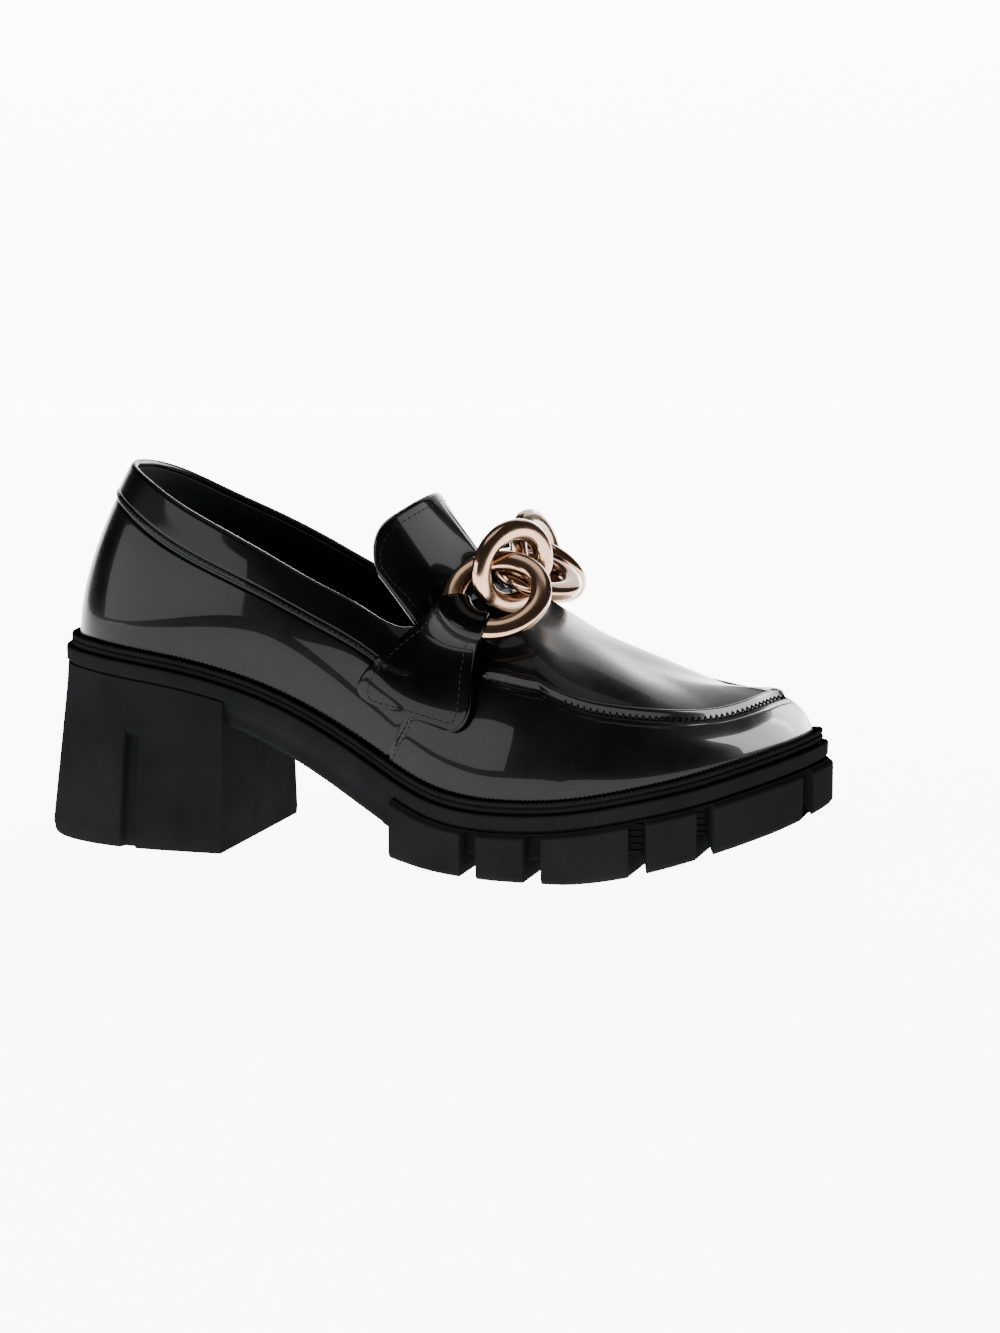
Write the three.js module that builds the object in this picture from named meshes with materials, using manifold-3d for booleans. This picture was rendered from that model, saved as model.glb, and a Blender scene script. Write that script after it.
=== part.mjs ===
// A patent leather platform loafer for the right foot: moulded lug sole with a block heel,
// moccasin-toe upper, tall tongue, and a curb chain held by two saddle tabs.
// Millimetres, +Z up. X runs from the heel's back to the toe, and -Y is the outer side of the foot.
// The shoe is built with the heel's back at x = 0 and the floor at z = 0, and centred at the end.
import * as THREE from "three";
import { mergeVertices } from "three/addons/utils/BufferGeometryUtils.js";
import Module from "manifold-3d";

const wasm = await Module();
wasm.setup();

// Driving sizes of the shoe
const SOLE_LENGTH = 250;
const BALL_WIDTH = 92;
const HEEL_RISE = 64; // floor to the top of the welt, at the back
const BACK_HEIGHT = 118.5; // floor to the top of the collar, at the back
const WALL = 1.8; // the upper's leather and lining together
const GAP = 0.3; // between two pieces that meet

// Driving sizes of the sole unit's side, from the welt down
const WELT_THICK = 3.7;
const WELT_IN = 1.8; // the welt's edge, in from the rand's face
const WELT_ROUND = 0.5;
const WELT_TUCK = 0.9; // how far the welt runs on outside the foot of the upper
const FEATHER_IN = 4.5; // the foot of the upper, in from the rand's face
const RAND_HEIGHT = 4.6;
const CREASE_HEIGHT = 0.8;
const CREASE_DEPTH = 1.3;
const RAND_ROUND = 0.7;
const HEEL_FLARE = 3.4; // how far the heel's sides spread from its top to the floor
const BACK_FLARE = 2.4; // how much further its back spreads
const HEEL_TOP_IN = 0.5;
const BREAST = 0.276; // the heel's front face, as a share of the sole's length
const TREAD_START = 0.508; // the back of the first lug, as a share of the sole's length
const LUG_PROUD = 1.6; // how far the lugs spread beyond the rand
const LUG_GAP = 5;
const LUG_SLOT_DEPTH = 3.6; // the cut in the side, from the rand's face
const TREAD_DEPTH = 6;
const TREAD_REACH = 20; // how far a gap runs in under the sole
const HEEL_GROOVE = { at: 0.155, width: 4.6, depth: 2.6, height: 37 }; // at is a share of SOLE_LENGTH
const CREASE_STEP = 0.2; // below the crease the side starts this much further in
const HEEL_ROUND = { height: 1.2, inset: 0.8 }; // the rounded edge of the heel's foot
const LUG_ROUND = { height: 1, inset: 0.8 }; // the rounded edges of a lug
const SHANK_ROUND = { height: 2, inset: 1 }; // the rounded edge of the shank's under side
const INSOLE_THICK = 3;

// Driving sizes of the upper's raised lines, the tongue, the tabs and the chain
const SEAM_RAISE = 1.5; // the moccasin seam stands this far out of the wall
const SEAM_WIDTH = 2.6;
const SEAM_START = [9, 9.6]; // the stations over which the moccasin seam rises
const BAND_END = [7.5, 8.5]; // the stations over which the collar band runs out
const COLLAR_RAISE = 0.7; // the collar band's extra thickness
const TONGUE_THICK = 2;
const TONGUE_CLEAR = 1.8; // under the throat edge, where the lining lies
const TONGUE_LENGTH = 38; // from the throat to the middle of its top edge
const TONGUE_LEAN = 53; // degrees, from level
const TONGUE_HALF = 26; // half its width, across its curve
const TONGUE_WRAP = 21; // how far its sides curve back from its middle
const TONGUE_CURVE = 80; // degrees of arc from its middle to its side
const TONGUE_CORNER = { from: 0.55, cut: 0.3 }; // its rounded top corners, as shares of its size
const TONGUE_ROOT = 1.6; // stations of throat edge that it is sewn to, each side
const TONGUE_SEWN = { ahead: 0.5, down: 0.16 }; // its sewn margin, in stations and levels
const TAB_THICK = 1.7;
const TAB_HALF = 8; // half the width of a tab where it folds through its link
const TAB_REST = 0.7; // from the upper's face to the tab that lies on it
const TAB_LIFT = 4; // how far a tab has risen from the upper where its fold begins
const FOLD_ROOM = 0.6; // from a link's wire to the tab that folds over it
const WIRE = { width: 6.6, thick: 4.8 }; // the links' flattened wire
const FREE_LINK = { length: 34, width: 29 };
const FOLD_LINK = { length: 34, width: 30 }; // the end links, which the tabs hold

// The sole's plan, a row for each station from the back of the heel to the tip of the toe.
// along is a share of SOLE_LENGTH; outer and inner are the two sides' distances from the centre line,
// as shares of BALL_WIDTH; welt is the height of the welt's top, as a share of HEEL_RISE.
const PLAN = [
  { along: 0.018, outer: 0.0, inner: 0.0, welt: 1.0 },
  { along: 0.032, outer: 0.141, inner: 0.141, welt: 0.998 },
  { along: 0.068, outer: 0.261, inner: 0.255, welt: 0.998 },
  { along: 0.132, outer: 0.342, inner: 0.332, welt: 0.978 },
  { along: 0.216, outer: 0.364, inner: 0.342, welt: 0.936 },
  { along: 0.312, outer: 0.359, inner: 0.321, welt: 0.842 },
  { along: 0.4, outer: 0.373, inner: 0.299, welt: 0.702 },
  { along: 0.48, outer: 0.418, inner: 0.304, welt: 0.542 },
  { along: 0.56, outer: 0.478, inner: 0.359, welt: 0.405 },
  { along: 0.648, outer: 0.516, inner: 0.435, welt: 0.37 },
  { along: 0.736, outer: 0.511, inner: 0.484, welt: 0.391 },
  { along: 0.816, outer: 0.467, inner: 0.484, welt: 0.447 },
  { along: 0.888, outer: 0.375, inner: 0.446, welt: 0.509 },
  { along: 0.948, outer: 0.234, inner: 0.37, welt: 0.575 },
  { along: 0.988, outer: 0.076, inner: 0.266, welt: 0.619 },
  { along: 1.008, outer: -0.12, inner: 0.12, welt: 0.641 },
];
const TIP = PLAN.length - 1; // the last station, at the tip of the toe
const THROAT = 10; // the station whose section meets the front of the throat

// The under side of the sole at the same stations. shank is the height of the body's under side and
// tread that of the lugs, as shares of HEEL_RISE; tuck draws the body in, as a share of BALL_WIDTH.
const UNDER = [
  { shank: 0.78, tread: 0, tuck: 0.03 },
  { shank: 0.78, tread: 0, tuck: 0.03 },
  { shank: 0.78, tread: 0, tuck: 0.03 },
  { shank: 0.76, tread: 0, tuck: 0.03 },
  { shank: 0.7, tread: 0, tuck: 0.03 },
  { shank: 0.57, tread: 0.1, tuck: 0.03 },
  { shank: 0.395, tread: 0.12, tuck: 0.03 },
  { shank: 0.22, tread: 0.08, tuck: 0.025 },
  { shank: 0.115, tread: 0.02, tuck: 0.01 },
  { shank: 0.094, tread: 0, tuck: 0.01 },
  { shank: 0.094, tread: 0, tuck: 0.01 },
  { shank: 0.14, tread: 0.046, tuck: 0.01 },
  { shank: 0.21, tread: 0.12, tuck: 0.01 },
  { shank: 0.28, tread: 0.19, tuck: 0.01 },
  { shank: 0.34, tread: 0.245, tuck: 0.01 },
  { shank: 0.37, tread: 0.28, tuck: 0.01 },
];

// The upper's top line, from the back of the collar to the front of the throat, at stations 0 to 10.
// along, outer and inner as in PLAN; height is a share of BACK_HEIGHT.
const TOP_LINE = [
  { along: 0.11, outer: 0.0, inner: 0.0, height: 1.0 },
  { along: 0.12, outer: 0.092, inner: 0.092, height: 0.992 },
  { along: 0.152, outer: 0.179, inner: 0.179, height: 0.962 },
  { along: 0.204, outer: 0.239, inner: 0.239, height: 0.905 },
  { along: 0.268, outer: 0.275, inner: 0.272, height: 0.844 },
  { along: 0.332, outer: 0.291, inner: 0.283, height: 0.781 },
  { along: 0.394, outer: 0.293, inner: 0.283, height: 0.716 },
  { along: 0.452, outer: 0.283, inner: 0.272, height: 0.657 },
  { along: 0.504, outer: 0.261, inner: 0.25, height: 0.608 },
  { along: 0.56, outer: 0.185, inner: 0.19, height: 0.658 },
  { along: 0.612, outer: -0.022, inner: 0.022, height: 0.705 },
];

// The ridge of the vamp, from the front of the throat to the toe, at stations 10 to 15.
// side is its place across the shoe, as a share of BALL_WIDTH.
const RIDGE = [
  { along: 0.612, side: 0.022, height: 0.705 },
  { along: 0.672, side: 0.027, height: 0.616 },
  { along: 0.736, side: 0.038, height: 0.547 },
  { along: 0.8, side: 0.049, height: 0.487 },
  { along: 0.856, side: 0.06, height: 0.462 },
  { along: 0.9, side: 0.071, height: 0.456 },
];

// How each section of the upper leaves the sole and reaches its top, as shares of BALL_WIDTH.
// swell and rise place the first handle; ahead, spread and drop place the second, measured from the top.
// seam is where the raised line crosses the section: the collar seam behind, the moccasin seam in front.
const SECTIONS = [
  { swell: 0.0, rise: 0.21, ahead: -0.1, spread: 0.0, drop: 0.17, seam: 0.82 },
  { swell: 0.01, rise: 0.21, ahead: -0.1, spread: 0.005, drop: 0.165, seam: 0.81 },
  { swell: 0.022, rise: 0.2, ahead: -0.11, spread: 0.022, drop: 0.165, seam: 0.8 },
  { swell: 0.027, rise: 0.19, ahead: -0.085, spread: 0.033, drop: 0.165, seam: 0.77 },
  { swell: 0.033, rise: 0.18, ahead: -0.065, spread: 0.038, drop: 0.155, seam: 0.74 },
  { swell: 0.033, rise: 0.17, ahead: -0.033, spread: 0.043, drop: 0.14, seam: 0.72 },
  { swell: 0.033, rise: 0.17, ahead: 0.0, spread: 0.043, drop: 0.13, seam: 0.7 },
  { swell: 0.027, rise: 0.17, ahead: 0.022, spread: 0.065, drop: 0.12, seam: 0.68 },
  { swell: 0.027, rise: 0.2, ahead: 0.043, spread: 0.098, drop: 0.11, seam: 0.65 },
  { swell: 0.027, rise: 0.26, ahead: 0.065, spread: 0.15, drop: 0.065, seam: 0.59 },
  { swell: 0.033, rise: 0.29, ahead: 0.065, spread: 0.34, drop: 0.035, seam: 0.47 },
  { swell: 0.033, rise: 0.27, ahead: 0.11, spread: 0.33, drop: 0.0, seam: 0.425 },
  { swell: 0.033, rise: 0.23, ahead: 0.14, spread: 0.29, drop: 0.0, seam: 0.43 },
  { swell: 0.022, rise: 0.185, ahead: 0.2, spread: 0.19, drop: 0.0, seam: 0.5 },
  { swell: 0.005, rise: 0.155, ahead: 0.18, spread: 0.085, drop: 0.0, seam: 0.58 },
  { swell: -0.02, rise: 0.14, ahead: 0.145, spread: 0.0, drop: 0.0, seam: 0.63 },
];

// A saddle tab, a row for each fold line from its lower edge up to the chain. back and front are the
// ends of the row, as shares of SOLE_LENGTH along the shoe, and of BACK_HEIGHT up from the floor.
const TAB = [
  { back: 0.474, backHeight: 0.426, front: 0.594, frontHeight: 0.36 },
  { back: 0.463, backHeight: 0.463, front: 0.608, frontHeight: 0.42 },
  { back: 0.486, backHeight: 0.532, front: 0.607, frontHeight: 0.495 },
  { back: 0.526, backHeight: 0.586, front: 0.608, frontHeight: 0.557 },
];

// The chain's links from the outer side to the inner. x, y and z place the centre, as shares of
// SOLE_LENGTH, BALL_WIDTH and BACK_HEIGHT. face is the way its flat side looks and reach the way its
// long side runs.
const CHAIN = [
  { x: 0.627, y: -0.289, z: 0.711, face: [0.18, -0.78, 0.6], reach: [0.82, -0.07, 0.57], size: FOLD_LINK },
  { x: 0.636, y: -0.191, z: 0.776, face: [-0.89, 0.46, 0], reach: [0.44, 0.87, 0.21], size: FREE_LINK },
  { x: 0.649, y: -0.039, z: 0.743, face: [0.38, -0.11, 0.92], reach: [0.06, 0.93, -0.37], size: FREE_LINK },
  { x: 0.635, y: 0.098, z: 0.781, face: [-0.97, 0.08, -0.22], reach: [0.16, 0.97, -0.19], size: FREE_LINK },
  { x: 0.62, y: 0.268, z: 0.722, face: [0.25, 0.7, 0.67], reach: [0.94, -0.31, 0.13], size: FOLD_LINK },
];

// The lug gaps along one side, as shares of SOLE_LENGTH, and the two sides that carry them.
const LUG_GAPS = [0.616, 0.698, 0.822, 0.895, 0.993];
const OUTER = -1;
const INNER = 1;
const SIDES = [OUTER, INNER];

// The way a tab pulls its end link, seen in the link's plane, and the turns of its fold round the
// wire, in degrees: from outside the link, over the wire, and down inside it.
const TAB_PULL = new THREE.Vector3(-0.6, 0, -0.8);
const FOLD_TURNS = [10, 45, 80, 115, 150, 185];

const vec = (x, y, z) => new THREE.Vector3(x, y, z);

// A smooth value between the rows of a table. Past either end the rows repeat as in a mirror,
// from the table named by the mirrored column where the two sides differ.
function between(rows, column, at, mirrored = column, flip = 1) {
  const last = rows.length - 1;
  const value = (i) => {
    if (i < 0) return flip * rows[-i][mirrored];
    if (i > last) return flip * rows[2 * last - i][mirrored];
    return rows[i][column];
  };
  const i = Math.min(Math.floor(at), last - 1);
  const t = at - i;
  const [a, b, c, d] = [value(i - 1), value(i), value(i + 1), value(i + 2)];
  return b + 0.5 * t * (c - a + t * (2 * a - 5 * b + 4 * c - d + t * (3 * (b - c) + d - a)));
}

// The same, for a table that simply stops at its ends.
function along(rows, column, at) {
  const last = rows.length - 1;
  const value = (i) => {
    if (i < 0) return 2 * rows[0][column] - rows[1][column];
    if (i > last) return 2 * rows[last][column] - rows[last - 1][column];
    return rows[i][column];
  };
  const i = Math.min(Math.max(Math.floor(at), 0), last - 1);
  const t = at - i;
  const [a, b, c, d] = [value(i - 1), value(i), value(i + 1), value(i + 2)];
  return b + 0.5 * t * (c - a + t * (2 * a - 5 * b + 4 * c - d + t * (3 * (b - c) + d - a)));
}

// A station past the back seam or the tip is the same place on the other side.
function fold(station, side) {
  if (station < 0) return [-station, -side];
  if (station > TIP) return [2 * TIP - station, -side];
  return [station, side];
}

const columnOf = (side) => (side === OUTER ? "outer" : "inner");

// The rand's outline in plan, and the same drawn in by an amount.
function rand(station, side) {
  const [at, hand] = fold(station, side);
  const own = columnOf(hand);
  const other = columnOf(-hand);
  const across = between(PLAN, own, at, other, -1);
  return vec(SOLE_LENGTH * between(PLAN, "along", at), hand * BALL_WIDTH * across, 0);
}

function outward(station, side) {
  const step = 0.02;
  const run = rand(station + step, side).sub(rand(station - step, side)).normalize();
  return vec(run.y, -run.x, 0).multiplyScalar(-side);
}

function outline(station, side, inset, z) {
  const p = rand(station, side).addScaledVector(outward(station, side), -inset);
  return p.setZ(z);
}

const weltTop = (station) => HEEL_RISE * between(PLAN, "welt", station);
const randTop = (station) => weltTop(station) - WELT_THICK;

// The top of a section: the top line as far as the throat, then the ridge of the vamp.
function sectionTop(station, side) {
  if (station <= THROAT) {
    const own = columnOf(side);
    const across = between(TOP_LINE, own, station, columnOf(-side), -1);
    return vec(
      SOLE_LENGTH * along(TOP_LINE, "along", station),
      side * BALL_WIDTH * across,
      BACK_HEIGHT * along(TOP_LINE, "height", station),
    );
  }
  const at = station - THROAT;
  return vec(
    SOLE_LENGTH * along(RIDGE, "along", at),
    BALL_WIDTH * along(RIDGE, "side", at),
    BACK_HEIGHT * along(RIDGE, "height", at),
  );
}

// The ridge's own direction, for one unit forward.
function ridgeRun(station) {
  const step = 0.01;
  const at = Math.min(Math.max(station, THROAT + step), TIP - step);
  const run = sectionTop(at + step, OUTER).sub(sectionTop(at - step, OUTER));
  return run.divideScalar(run.x);
}

// The outer face of the bare upper: station round the shoe, level 0 at the sole to 1 at the top.
function bareUpper(station, side, level) {
  const [at, hand] = fold(station, side);
  const share = (column) => BALL_WIDTH * between(SECTIONS, column, at);
  const out = outward(at, hand);
  const foot = outline(at, hand, FEATHER_IN, randTop(at) + GAP);
  const top = sectionTop(at, hand);
  const low = foot.clone().addScaledVector(out, share("swell"));
  low.z += share("rise");
  const high = top.clone();
  high.y += hand * share("spread");
  if (at > THROAT) {
    high.addScaledVector(ridgeRun(at), share("ahead"));
  } else {
    high.x += share("ahead");
    high.z -= share("drop");
  }
  const t = level;
  const s = 1 - t;
  return foot
    .multiplyScalar(s * s * s)
    .addScaledVector(low, 3 * s * s * t)
    .addScaledVector(high, 3 * s * t * t)
    .addScaledVector(top, t * t * t);
}

function normalOf(station, side, level) {
  if (level > 0.999 && station >= THROAT) {
    const run = ridgeRun(station);
    return vec(-run.z, 0, run.x).normalize();
  }
  const step = 0.02;
  const round = bareUpper(station + step, side, level).sub(bareUpper(station - step, side, level));
  const up = bareUpper(station, side, level + step / 4).sub(bareUpper(station, side, level - step / 4));
  return round.cross(up).normalize().multiplyScalar(-side);
}

// A soft step from 0 at a to 1 at b.
const ease = (x, a, b) => THREE.MathUtils.smoothstep(x, a, b);

// How far the wall's outer face stands out: the collar band behind, the moccasin seam in front.
function relief(station, level) {
  const seam = between(SECTIONS, "seam", station);
  const half = SEAM_WIDTH / BALL_WIDTH;
  const band = COLLAR_RAISE * (1 - ease(station, ...BAND_END)) * ease(level, seam, seam + half);
  const bead = Math.max(0, 1 - Math.abs(level - seam) / half);
  return band + SEAM_RAISE * ease(station, ...SEAM_START) * bead;
}

function upperFace(station, side, level, offset) {
  const p = bareUpper(station, side, level);
  return p.addScaledVector(normalOf(station, side, level), offset);
}

const WELD = 2e-3; // corners nearer than this are one

// Solids from faces: triangles are collected as corner points, and shared corners are merged.
class Skin {
  constructor() {
    this.points = [];
  }
  tri(a, b, c) {
    this.points.push(...a.toArray(), ...b.toArray(), ...c.toArray());
  }
  quad(a, b, c, d) {
    this.tri(a, b, c);
    this.tri(a, c, d);
  }
  // A band of faces between two rows of points.
  strip(row, next, closed = false) {
    const last = closed ? row.length : row.length - 1;
    for (let i = 0; i < last; i++) {
      const j = (i + 1) % row.length;
      this.quad(row[i], row[j], next[j], next[i]);
    }
  }
  geometry() {
    const position = new THREE.Float32BufferAttribute(this.points, 3);
    return new THREE.BufferGeometry().setAttribute("position", position);
  }
}

function solid(geometry) {
  const bare = geometry.index ? geometry.toNonIndexed() : geometry.clone();
  bare.deleteAttribute("normal");
  bare.deleteAttribute("uv");
  const merged = mergeVertices(bare, WELD);
  const corners = merged.index.array;
  const triVerts = [];
  for (let i = 0; i < corners.length; i += 3) {
    const [a, b, c] = [corners[i], corners[i + 1], corners[i + 2]];
    if (a !== b && b !== c && c !== a) triVerts.push(a, b, c);
  }
  const made = (turned) => {
    const faces = new Uint32Array(triVerts);
    if (turned) {
      for (let i = 0; i < faces.length; i += 3) {
        [faces[i + 1], faces[i + 2]] = [faces[i + 2], faces[i + 1]];
      }
    }
    const vertProperties = new Float32Array(merged.attributes.position.array);
    return new wasm.Manifold(new wasm.Mesh({ numProp: 3, vertProperties, triVerts: faces }));
  };
  const first = made(false);
  return first.volume() < 0 ? made(true) : first;
}

function geometryOf(body) {
  const mesh = body.getMesh();
  const position = new Float32Array(mesh.numVert * 3);
  for (let i = 0; i < mesh.numVert; i++) {
    position.set(mesh.vertProperties.subarray(i * mesh.numProp, i * mesh.numProp + 3), i * 3);
  }
  return new THREE.BufferGeometry()
    .setAttribute("position", new THREE.BufferAttribute(position, 3))
    .setIndex(new THREE.BufferAttribute(mesh.triVerts, 1));
}

// Stations from one value to another, in even steps.
function spread(from, to, steps) {
  return Array.from({ length: steps + 1 }, (_, i) => from + ((to - from) * i) / steps);
}

// A closed loop round the sole between two stations, outer side first. place(station, side) gives
// a point; at the back seam and at the tip both sides share one.
function loop(stations, place) {
  const ahead = stations.map((s) => place(s, OUTER));
  const back = stations.map((s) => place(s, INNER));
  const keep = back.filter((_, i) => stations[i] > 0 && stations[i] < TIP);
  return ahead.concat(keep.reverse());
}

// A solid from stacked loops, closed by ruled faces across the first and the last.
function stack(loops, sharedStart) {
  const skin = new Skin();
  for (let k = 0; k + 1 < loops.length; k++) skin.strip(loops[k], loops[k + 1], true);
  const partner = (i, n) => (sharedStart ? (n - i) % n : n - 1 - i);
  const cap = (ring, turned) => {
    const n = ring.length;
    for (let i = 0; i < Math.floor(n / 2); i++) {
      const corners = [ring[i], ring[i + 1], ring[partner(i + 1, n)], ring[partner(i, n)]];
      if (partner(i, n) === i) corners.pop();
      if (turned) corners.reverse();
      if (corners.length === 3 || partner(i + 1, n) === i + 1) {
        const three = [...new Set(corners)];
        if (three.length === 3) skin.tri(...three);
      } else {
        skin.quad(...corners);
      }
    }
  };
  cap(loops[0], true);
  cap(loops[loops.length - 1], false);
  return solid(skin.geometry());
}

// The station whose outline lies at a given distance along the sole.
function stationAt(distance, side) {
  let [low, high] = [0, TIP];
  for (let i = 0; i < 30; i++) {
    const middle = (low + high) / 2;
    if (rand(middle, side).x < distance) low = middle;
    else high = middle;
  }
  return (low + high) / 2;
}

const shankAt = (station) => HEEL_RISE * between(UNDER, "shank", station);
const treadAt = (station) => Math.max(0, HEEL_RISE * between(UNDER, "tread", station));
const tuckAt = (station) => BALL_WIDTH * between(UNDER, "tuck", station);

// The height at which the sole's side begins, below the rand and its crease.
const sideTop = (station) => randTop(station) - RAND_HEIGHT - CREASE_HEIGHT;

// The sole unit's body: rand, crease, and the side below it down to the shank's under side.
function soleBody() {
  const stations = spread(0, TIP, 3 * TIP);
  const crease = (s) => randTop(s) - RAND_HEIGHT;
  const layers = [
    [() => RAND_ROUND, randTop],
    [() => 0, (s) => randTop(s) - RAND_ROUND],
    [() => CREASE_STEP, crease],
    [() => CREASE_DEPTH, crease],
    [() => CREASE_DEPTH, sideTop],
    [tuckAt, (s) => Math.min(shankAt(s) + SHANK_ROUND.height, sideTop(s) - SHANK_ROUND.inset)],
    [(s) => tuckAt(s) + SHANK_ROUND.inset, shankAt],
  ];
  return stack(
    layers.map(([inset, z]) => loop(stations, (s, side) => outline(s, side, inset(s), z(s)))),
    true,
  );
}

// The block heel: it spreads towards the floor, and ends in a straight breast.
function heelBlock() {
  const front = stationAt(BREAST * SOLE_LENGTH, OUTER);
  const stations = spread(0, front, 14);
  const top = sideTop(front);
  const levels = [0, HEEL_ROUND.height, top / 3, (2 * top) / 3, top];
  const loops = levels.map((z) => {
    const share = 1 - z / top;
    const round = z === 0 ? HEEL_ROUND.inset : 0;
    const inset = HEEL_TOP_IN - (HEEL_FLARE + HEEL_TOP_IN) * share + round;
    return loop(stations, (s, side) => {
      const p = outline(s, side, inset, z);
      p.x -= BACK_FLARE * share * Math.max(0, 1 - p.x / (BREAST * SOLE_LENGTH));
      return s === front ? p.setX(BREAST * SOLE_LENGTH) : p;
    });
  });
  const rise = loop(stations, (s, side) =>
    outline(s, side, HEEL_TOP_IN, randTop(s) - RAND_HEIGHT - CREASE_STEP),
  );
  return stack([...loops, rise], true);
}

// The lugged forepart, before its gaps are cut.
function tread() {
  const first = stationAt(TREAD_START * SOLE_LENGTH, OUTER);
  const stations = spread(first, TIP, 28);
  const layers = [
    [CREASE_STEP, sideTop],
    [-LUG_PROUD / 3, (s) => sideTop(s) - LUG_ROUND.height],
    [-LUG_PROUD, (s) => treadAt(s) + LUG_ROUND.height],
    [-LUG_PROUD + LUG_ROUND.inset, treadAt],
  ];
  return stack(
    layers.map(([inset, z]) => loop(stations, (s, side) => outline(s, side, inset, z(s)))),
    false,
  );
}

// A box that cuts into the sole's side at a station: its face lies on the outline.
function sideCut(station, side, width, depth, low, high) {
  const size = new THREE.BoxGeometry(depth * 2, width, high - low);
  const out = outward(station, side);
  const at = outline(station, side, 0, (low + high) / 2);
  size.rotateZ(Math.atan2(out.y, out.x));
  size.translate(at.x, at.y, at.z);
  return solid(size);
}

function outsole() {
  let body = soleBody().add(heelBlock()).add(tread());
  for (const side of SIDES) {
    for (const share of LUG_GAPS) {
      const s = stationAt(share * SOLE_LENGTH, side);
      const floor = treadAt(s) - TREAD_DEPTH / 2;
      const roof = sideTop(s) + CREASE_HEIGHT / 2;
      body = body.subtract(sideCut(s, side, LUG_GAP, LUG_SLOT_DEPTH, floor, roof));
      body = body.subtract(sideCut(s, side, LUG_GAP, TREAD_REACH, floor, treadAt(s) + TREAD_DEPTH));
    }
    const s = stationAt(HEEL_GROOVE.at * SOLE_LENGTH, side);
    body = body.subtract(sideCut(s, side, HEEL_GROOVE.width, HEEL_GROOVE.depth, -1, HEEL_GROOVE.height));
  }
  return body.subtract(sideCut(0, OUTER, HEEL_GROOVE.width, HEEL_GROOVE.depth, -1, HEEL_GROOVE.height));
}

// A ring round the sole between two insets, from one height to another.
function ring(outerInset, innerInset, low, high, round) {
  const stations = spread(0, TIP, 3 * TIP);
  const corners = [
    [outerInset + round, low],
    [outerInset, (s) => low(s) + round],
    [outerInset, (s) => high(s) - round],
    [outerInset + round, high],
    [innerInset, high],
    [innerInset, low],
  ];
  const rows = corners.map(([inset, z]) => loop(stations, (s, side) => outline(s, side, inset, z(s))));
  const skin = new Skin();
  rows.forEach((row, i) => skin.strip(row, rows[(i + 1) % rows.length], true));
  return solid(skin.geometry());
}

function welt() {
  return ring(WELT_IN, FEATHER_IN - WELT_TUCK, (s) => randTop(s) + GAP, weltTop, WELT_ROUND);
}

function insole() {
  const stations = spread(0, TIP, 3 * TIP);
  const inset = FEATHER_IN + WALL + 3 * GAP;
  const level = (rise) => loop(stations, (s, side) => outline(s, side, inset, randTop(s) + rise));
  return stack([level(GAP), level(GAP + INSOLE_THICK)], true);
}

// The levels at which a section is cut, closer together at the raised line.
function levelsAt(station) {
  const seam = between(SECTIONS, "seam", station);
  const half = SEAM_WIDTH / BALL_WIDTH;
  const below = spread(0, seam - half, 4);
  const above = spread(seam + half, 1, 4);
  return [...below, seam, ...above];
}

function upper() {
  const stations = spread(0, TIP, 3 * TIP);
  const skin = new Skin();
  for (const side of SIDES) {
    const columns = stations.map((s) => {
      const levels = levelsAt(s);
      return {
        outer: levels.map((v) => upperFace(s, side, v, relief(s, v))),
        inner: levels.map((v) => upperFace(s, side, v, -WALL)),
      };
    });
    for (let i = 0; i + 1 < columns.length; i++) {
      const [a, b] = side === OUTER ? [columns[i], columns[i + 1]] : [columns[i + 1], columns[i]];
      skin.strip(a.outer, b.outer);
      skin.strip(b.inner, a.inner);
      skin.quad(a.outer[0], b.outer[0], b.inner[0], a.inner[0]);
      if (stations[i] < THROAT) {
        skin.quad(b.outer.at(-1), a.outer.at(-1), a.inner.at(-1), b.inner.at(-1));
      }
    }
  }
  return solid(skin.geometry());
}

// A sheet of even thickness about rows of points on its middle surface.
function sheet(rows, thickness) {
  const at = (i, j) => rows[Math.min(Math.max(i, 0), rows.length - 1)][j];
  const clampJ = (j) => Math.min(Math.max(j, 0), rows[0].length - 1);
  const face = (offset) =>
    rows.map((row, i) =>
      row.map((p, j) => {
        const down = at(i + 1, j).clone().sub(at(i - 1, j));
        const across = at(i, clampJ(j + 1)).clone().sub(at(i, clampJ(j - 1)));
        return p.clone().addScaledVector(down.cross(across).normalize(), offset);
      }),
    );
  const [front, back] = [face(thickness / 2), face(-thickness / 2)];
  const skin = new Skin();
  const last = rows[0].length - 1;
  for (let i = 0; i + 1 < rows.length; i++) {
    skin.strip(front[i], front[i + 1]);
    skin.strip(back[i + 1], back[i]);
    skin.quad(front[i][0], front[i + 1][0], back[i + 1][0], back[i][0]);
    skin.quad(front[i + 1][last], front[i][last], back[i][last], back[i + 1][last]);
  }
  skin.strip(back[0], front[0]);
  skin.strip(front.at(-1), back.at(-1));
  return solid(skin.geometry());
}

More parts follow.
